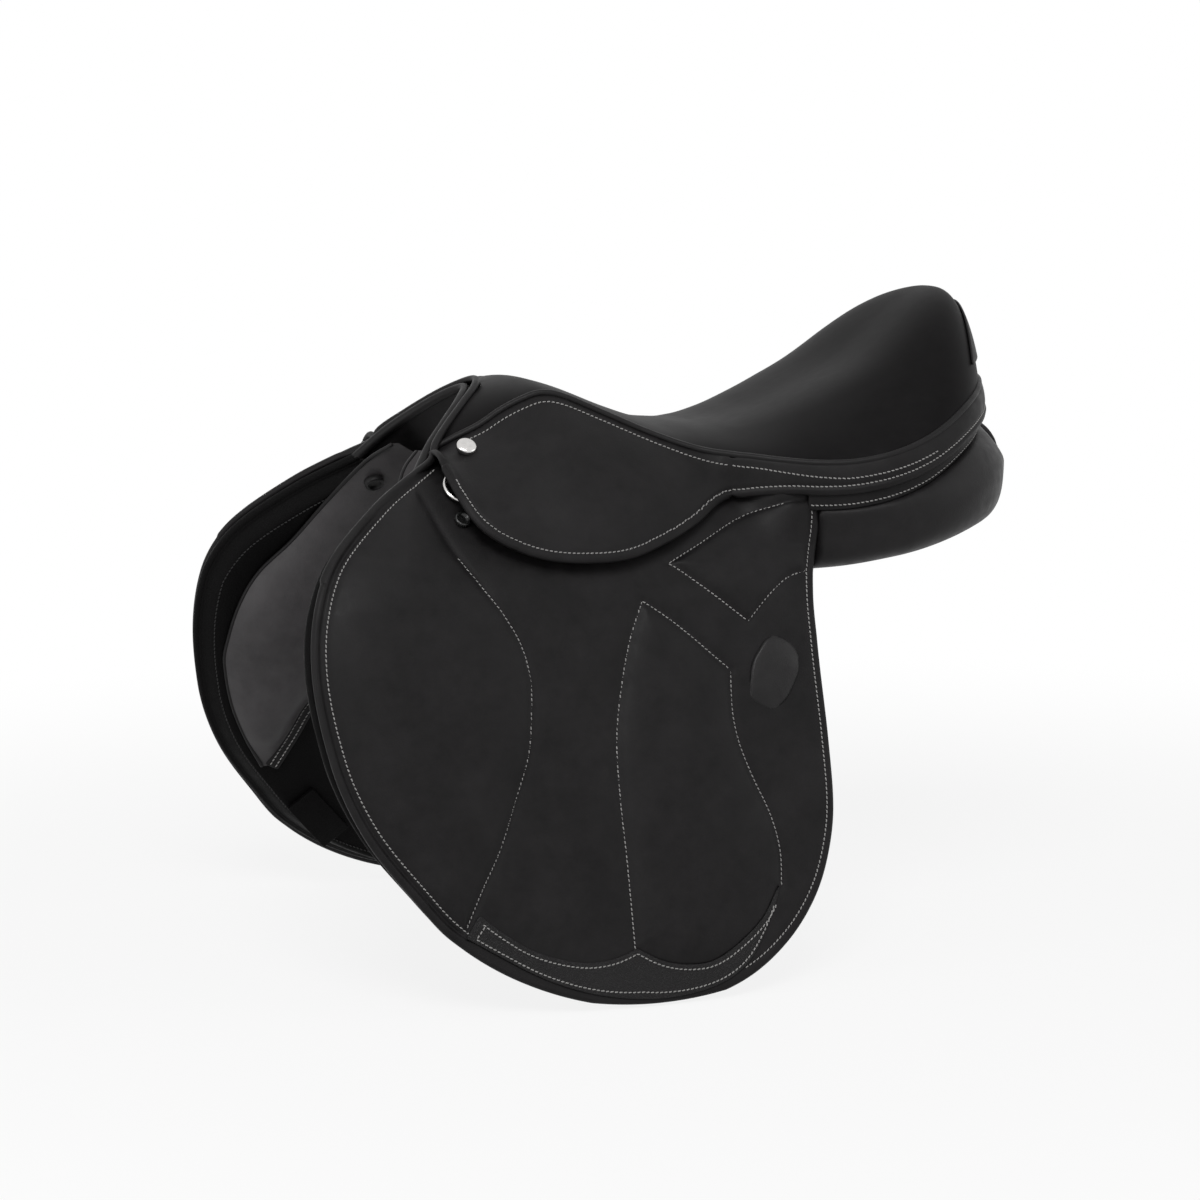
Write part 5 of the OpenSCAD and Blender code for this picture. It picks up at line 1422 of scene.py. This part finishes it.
# %% Rear panels
GULLET_HALF_W, PANEL_LIFT, PANEL_REACH, PANEL_END_W = 36.0, 60.0, 18.0, 12.0
PANEL_LOW_SHARES = [(0.6, 0.16), (0.667, 0.2), (0.731, 0.267), (0.806, 0.367), (0.897, 0.533),
                    (0.974, 0.7), (1.05, 1)]
PANEL_RING = [(0, 0.75), (0.08, 0.95), (0.5, 1), (0.92, 1.01), (1, 0.92), (1.02, 0.35), (1, -0.35),
              (0.93, -0.75), (0.8, -0.96), (0.5, -1), (0.15, -0.8), (0, -0.4), (-0.02, 0.2)]
REAR_START, HIGH_ROUND_START, LOW_ROUND_AT, LEAST_ROUND = 0.612, 0.97, 0.9, 0.03
REAR_FULL, SHOULDER_ROUND = 3.0, 1.6
ring_points = np.array(PANEL_RING)
ring_points = np.concatenate([ring_points[-2:], ring_points, ring_points[:3]])
ring_at = way_along(ring_points)
ring_share = np.linspace(ring_at[2], ring_at[-3], 53)[:-1]
ring_e = smooth(np.stack([ring_at, ring_points[:, 0]], axis=-1), ring_share)
ring_h = smooth(np.stack([ring_at, ring_points[:, 1]], axis=-1), ring_share)
rear_end = 1 + (PANEL_REACH - REAR_FULL) / SEAT_L
rear_t = between(REAR_START, rear_end, np.sin(np.pi / 2 * np.linspace(0, 1, 60)))[:, None]
ring_out = (PANEL_REACH + REAR_FULL) * np.where(ring_h > 0, 1 - np.maximum(ring_h, 0) ** SHOULDER_ROUND, 1)
rear_w = np.maximum(seat_w(rear_t - ring_out / SEAT_L), GULLET_HALF_W + PANEL_END_W)


def rear_round(start, power):
    """How the cushion closes from a place along the seat to its rear end."""
    way = np.maximum(rear_t - start, 0) / (rear_end - start)
    return np.sqrt(np.maximum(1 - way ** power, LEAST_ROUND))


ring_close = np.where(ring_h > 0, rear_round(HIGH_ROUND_START, 2), rear_round(LOW_ROUND_AT, 8))
rear_high = band_low(np.minimum(rear_t, 1)) - GUSSET_H + 2 * GAP
rear_low = PANEL_LIFT * smooth(PANEL_LOW_SHARES, rear_t)
rear_mid, rear_half = (rear_high + rear_low) / 2, ring_close * (rear_high - rear_low) / 2
rear_y = between(GULLET_HALF_W, rear_w, ring_e)
rear_grid = points(seat_x(rear_t), rear_y, rear_mid + rear_half * ring_h)


def closed_loft(grid):
    """A tube of rings with both ends closed."""
    rows, cols = grid.shape[:2]
    first, last = list(range(cols)), list(range((rows - 1) * cols, rows * cols))
    caps = np.stack([grid[0].mean(0), grid[-1].mean(0)])
    ends = [[rows * cols, first[(c + 1) % cols], first[c]] for c in range(cols)]
    ends += [[rows * cols + 1, last[c], last[(c + 1) % cols]] for c in range(cols)]
    return np.concatenate([grid.reshape(-1, 3), caps]), ring_faces(rows, cols)[:-2] + ends


for side, s in SIDES:
    cushion = piece("rear_panel_" + side, closed_loft(rear_grid), "panel_leather", s)
    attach(cushion, ROOT)
    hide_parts("panel_rear_" + side)
print("rear panel", len(cushion.data.vertices), "points")

# %% [markdown]
# Knee blocks sit on the sweat flap under each flap, and only show when it lifts. The gullet is lined from
# the pommel's ridge back under the tree. A strip of smooth leather binds the back of the cantle.

# %% Knee blocks, gullet lining and cantle strip
BLOCK_RUN, BLOCK_W_SHARE, BLOCK_GAPS, BLOCK_ROUND, LEAST_BLOCK = (-0.08, -0.6), 0.13, 3.5, 0.4, 0.02
block_j = np.linspace(0, 1, 40)[:, None]
block_c = np.linspace(0, 1, 26)[None, :]
block_z = FLAP_DROP * between(*BLOCK_RUN, block_j)
block_a = flap_front(block_z) + 3 * FLAP_T
block_x = between(block_a, block_a + FLAP_W * BLOCK_W_SHARE * (1 - (2 * block_j - 1) ** 4 / 2), block_c)
block_zz = np.broadcast_to(block_z, block_x.shape)
block_share = (1 - np.abs(2 * block_c - 1) ** 4) * (1 - np.abs(2 * block_j - 1) ** 4)
block_full = (SWEAT_DEPTH - FLAP_T - BLOCK_GAPS * GAP) * np.clip(block_share, LEAST_BLOCK, 1) ** BLOCK_ROUND
block_back = -SWEAT_DEPTH + GAP
block_mesh = slab(side_pt(block_x, block_zz, block_back + block_full),
                  side_pt(block_x, block_zz, block_back))
for side, s in SIDES:
    block = piece("knee_roll_" + side, block_mesh, "panel_leather", s)
    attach(block, ROOT)
    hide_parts("knee_block_" + side)

lining_low, lining_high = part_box("gullet_lining")
LINING_ROWS, LINING_COLS = 24, 61
LINING_SET, LINING_W_SHARE, LINING_DROP, LINING_HANG = (2.0, 0, -1.5), 0.9, 3.0, 10.0
LINING_ROUND, LINING_EASE = 2.2, (1.0, 1.0, 0.7)
arch_q = np.linspace(-1, 1, LINING_COLS)[None, :]
lining_v = np.linspace(0, 1, LINING_ROWS)[:, None]
gullet_line = resample(gullet_path, 1.0)
lining_pick = (np.linspace(0, 1, LINING_COLS) * (len(gullet_line) - 1)).round().astype(int)
lining_edge = gullet_line[lining_pick] + LINING_SET
lining_front = np.broadcast_to(lining_edge[None], (LINING_ROWS, LINING_COLS, 3))
lining_z = between(lining_high.z / MM - LINING_DROP, lining_low.z / MM - LINING_HANG,
                   np.abs(arch_q) ** LINING_ROUND)
lining_back = points(lining_high.x / MM, arch_q * lining_high.y / MM * LINING_W_SHARE, lining_z)
lining_grid = between(lining_front, lining_back, lining_v[..., None] ** np.array(LINING_EASE))
lining = piece("gullet_leather", slab(lining_grid, lining_grid - [0, 0, COVER_T]), "leather")
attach(lining, ROOT)
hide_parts("gullet_lining")

BACK_SPREAD, BACK_TOP, BACK_LOW, BACK_DIP, BACK_ROUND, BACK_T = 0.92, 0.985, 0.9965, 0.07, 2.6, 1.6
back_q = BACK_SPREAD * np.linspace(-1, 1, 90)[None, :]
back_t = between(BACK_TOP - BACK_DIP * np.abs(back_q) ** BACK_ROUND, BACK_LOW, np.linspace(0, 1, 20)[:, None])
back_grid = seat_off(back_t, back_q, GAP + BACK_T)
cantle = piece("cantle_back", slab(back_grid, seat_off(back_t, back_q, GAP)), "leather")
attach(cantle, ROOT)
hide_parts("cantle_strip")
print("lining", len(lining.data.vertices), "points")

# %% [markdown]
# The straps, guards, chapes and keepers are flat cut leather. Their CAD solids already have the true
# outline and holes, so each is copied into a new mesh and its cut edges are rounded with a bevel, as an
# edge tool would do.

# %% Cut leather
BEVEL_MM, FINE_BEVEL_MM = 0.55, 0.3
FLAT_DEG, SHARP_DEG, SHADE_DEG = 1, 40, 35


def dressed(node, finish, bevel_mm=BEVEL_MM):
    """A copy of a flat CAD piece with rounded edges, which stands for it."""
    made = bpy.data.objects.new(node + "_cut", frame["nodes"][node].data.copy())
    scene.collection.objects.link(made)
    made.data.materials.clear()
    made.data.materials.append(FINISHES[finish])
    work = bmesh.new()
    work.from_mesh(made.data)
    bmesh.ops.remove_doubles(work, verts=work.verts, dist=WELD_M)
    bmesh.ops.dissolve_limit(work, angle_limit=math.radians(FLAT_DEG), verts=work.verts, edges=work.edges)
    sharp = [edge for edge in work.edges
             if len(edge.link_faces) == 2 and edge.calc_face_angle(0) > math.radians(SHARP_DEG)]
    bmesh.ops.bevel(work, geom=sharp, offset=bevel_mm * MM, segments=2, profile=0.5, affect="EDGES",
                    clamp_overlap=True)
    work.to_mesh(made.data)
    work.free()
    made.data.shade_smooth()
    made.data.set_sharp_from_angle(angle=math.radians(SHADE_DEG))
    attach(made, frame["nodes"][node]["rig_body"])
    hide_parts(node)


for side, s in SIDES:
    for number in (1, 2):
        dressed(f"girth_strap_{side}_{number}", "leather")
    dressed("buckle_guard_" + side, "leather")
    dressed("girth_web_" + side, "webbing", FINE_BEVEL_MM)
dressed("dee_chapes", "leather", FINE_BEVEL_MM)
# The pad keepers share the sweat flaps' darker leather, which carries painted shade.
dressed("pad_keepers", "sweat_leather")

# %% [markdown]
# The small metal parts are turned or bent, and the CAD solids have their true shape, so they only need a
# finish. The nail, the stud and the eyelet are worth a closer profile: a domed head with a rim.

# %% Metal
def finished(node, finish):
    """Gives a CAD node its finish."""
    slots = frame["nodes"][node].data.materials
    slots.clear()
    slots.append(FINISHES[finish])


for node, finish in (("tree_shell", "tree_plastic"), ("head_plate", "painted_steel"),
                     ("gullet_plate", "painted_steel"), ("tree_rivets", "silver"), ("catch_pins", "silver")):
    finished(node, finish)
for side, s in SIDES:
    for node, finish in (("tree_point_", "painted_steel"), ("spring_rail_", "steel"),
                         ("stirrup_bar_", "steel"), ("bar_catch_", "steel"), ("dee_ring_", "silver")):
        finished(node + side, finish)

NAIL_K, NAIL_V, NAIL_R, NAIL_OUT, NAIL_L = 0.32, 0.16, 7.0, 0.55, 10.0
STUD_X_SHARE, STUD_Z_SHARE, STUD_R, STUD_OUT = 0.327, 0.38, 5.4, 0.8
EYELET_Z_SHARE, EYELET_R, EYELET_IN = 0.66, 7.0, 2.5
NAIL_PROFILE = [(0.99, -0.3), (1.0, 0.1), (0.98, 0.28), (0.9, 0.36), (0.8, 0.4), (0.5, 0.47), (0.2, 0.5),
                (0.02, 0.505)]
STUD_PROFILE = [(1.0, -0.1), (1.0, 0.45), (0.92, 0.6), (0.78, 0.62), (0.66, 0.5), (0.6, 0.3), (0.3, 0.24),
                (0.02, 0.24)]


def side_piece(name, node, profile, radius, centre, axis, finish):
    """A turned piece on both sides."""
    verts, faces = turned([(radius * r, radius * h) for r, h in profile], centre, axis)
    mirrored = verts * [1, -1, 1]
    made = piece(name, joined((verts, faces), (mirrored, faces)), finish)
    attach(made, ROOT)
    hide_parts(node)


nail_at, nail_foot, nail_tip = [skirt_pt(np.array(NAIL_K), np.array(NAIL_V), out)
                                for out in (SKIRT_T * NAIL_OUT, 0.0, NAIL_L)]
side_piece("nail_heads", "skirt_nails", NAIL_PROFILE, NAIL_R, nail_at, nail_tip - nail_foot,
           "silver")
stud_z = STUD_Z_SHARE * ARCH_H
stud_at = side_pt(FLAP_X + STUD_X_SHARE * FLAP_W, stud_z, STUD_OUT)
side_piece("flap_stud_rings", "flap_studs", STUD_PROFILE, STUD_R, stud_at, side_normal(stud_z),
           "black_metal")
eyelet_low, eyelet_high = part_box("pocket_eyelets")
eyelet_z = EYELET_Z_SHARE * ARCH_H
eyelet_at = points(*((np.array(eyelet_low) + np.array(eyelet_high)) / 2 / MM))
eyelet_at[1] = eyelet_high.y / MM - EYELET_IN
side_piece("pocket_rings", "pocket_eyelets", STUD_PROFILE, EYELET_R, eyelet_at, -side_normal(eyelet_z),
           "edge_leather")
print("metal done")

# %% Sizes and the end
print("CAD box", [round(v, 4) for corner in cad_box for v in corner])
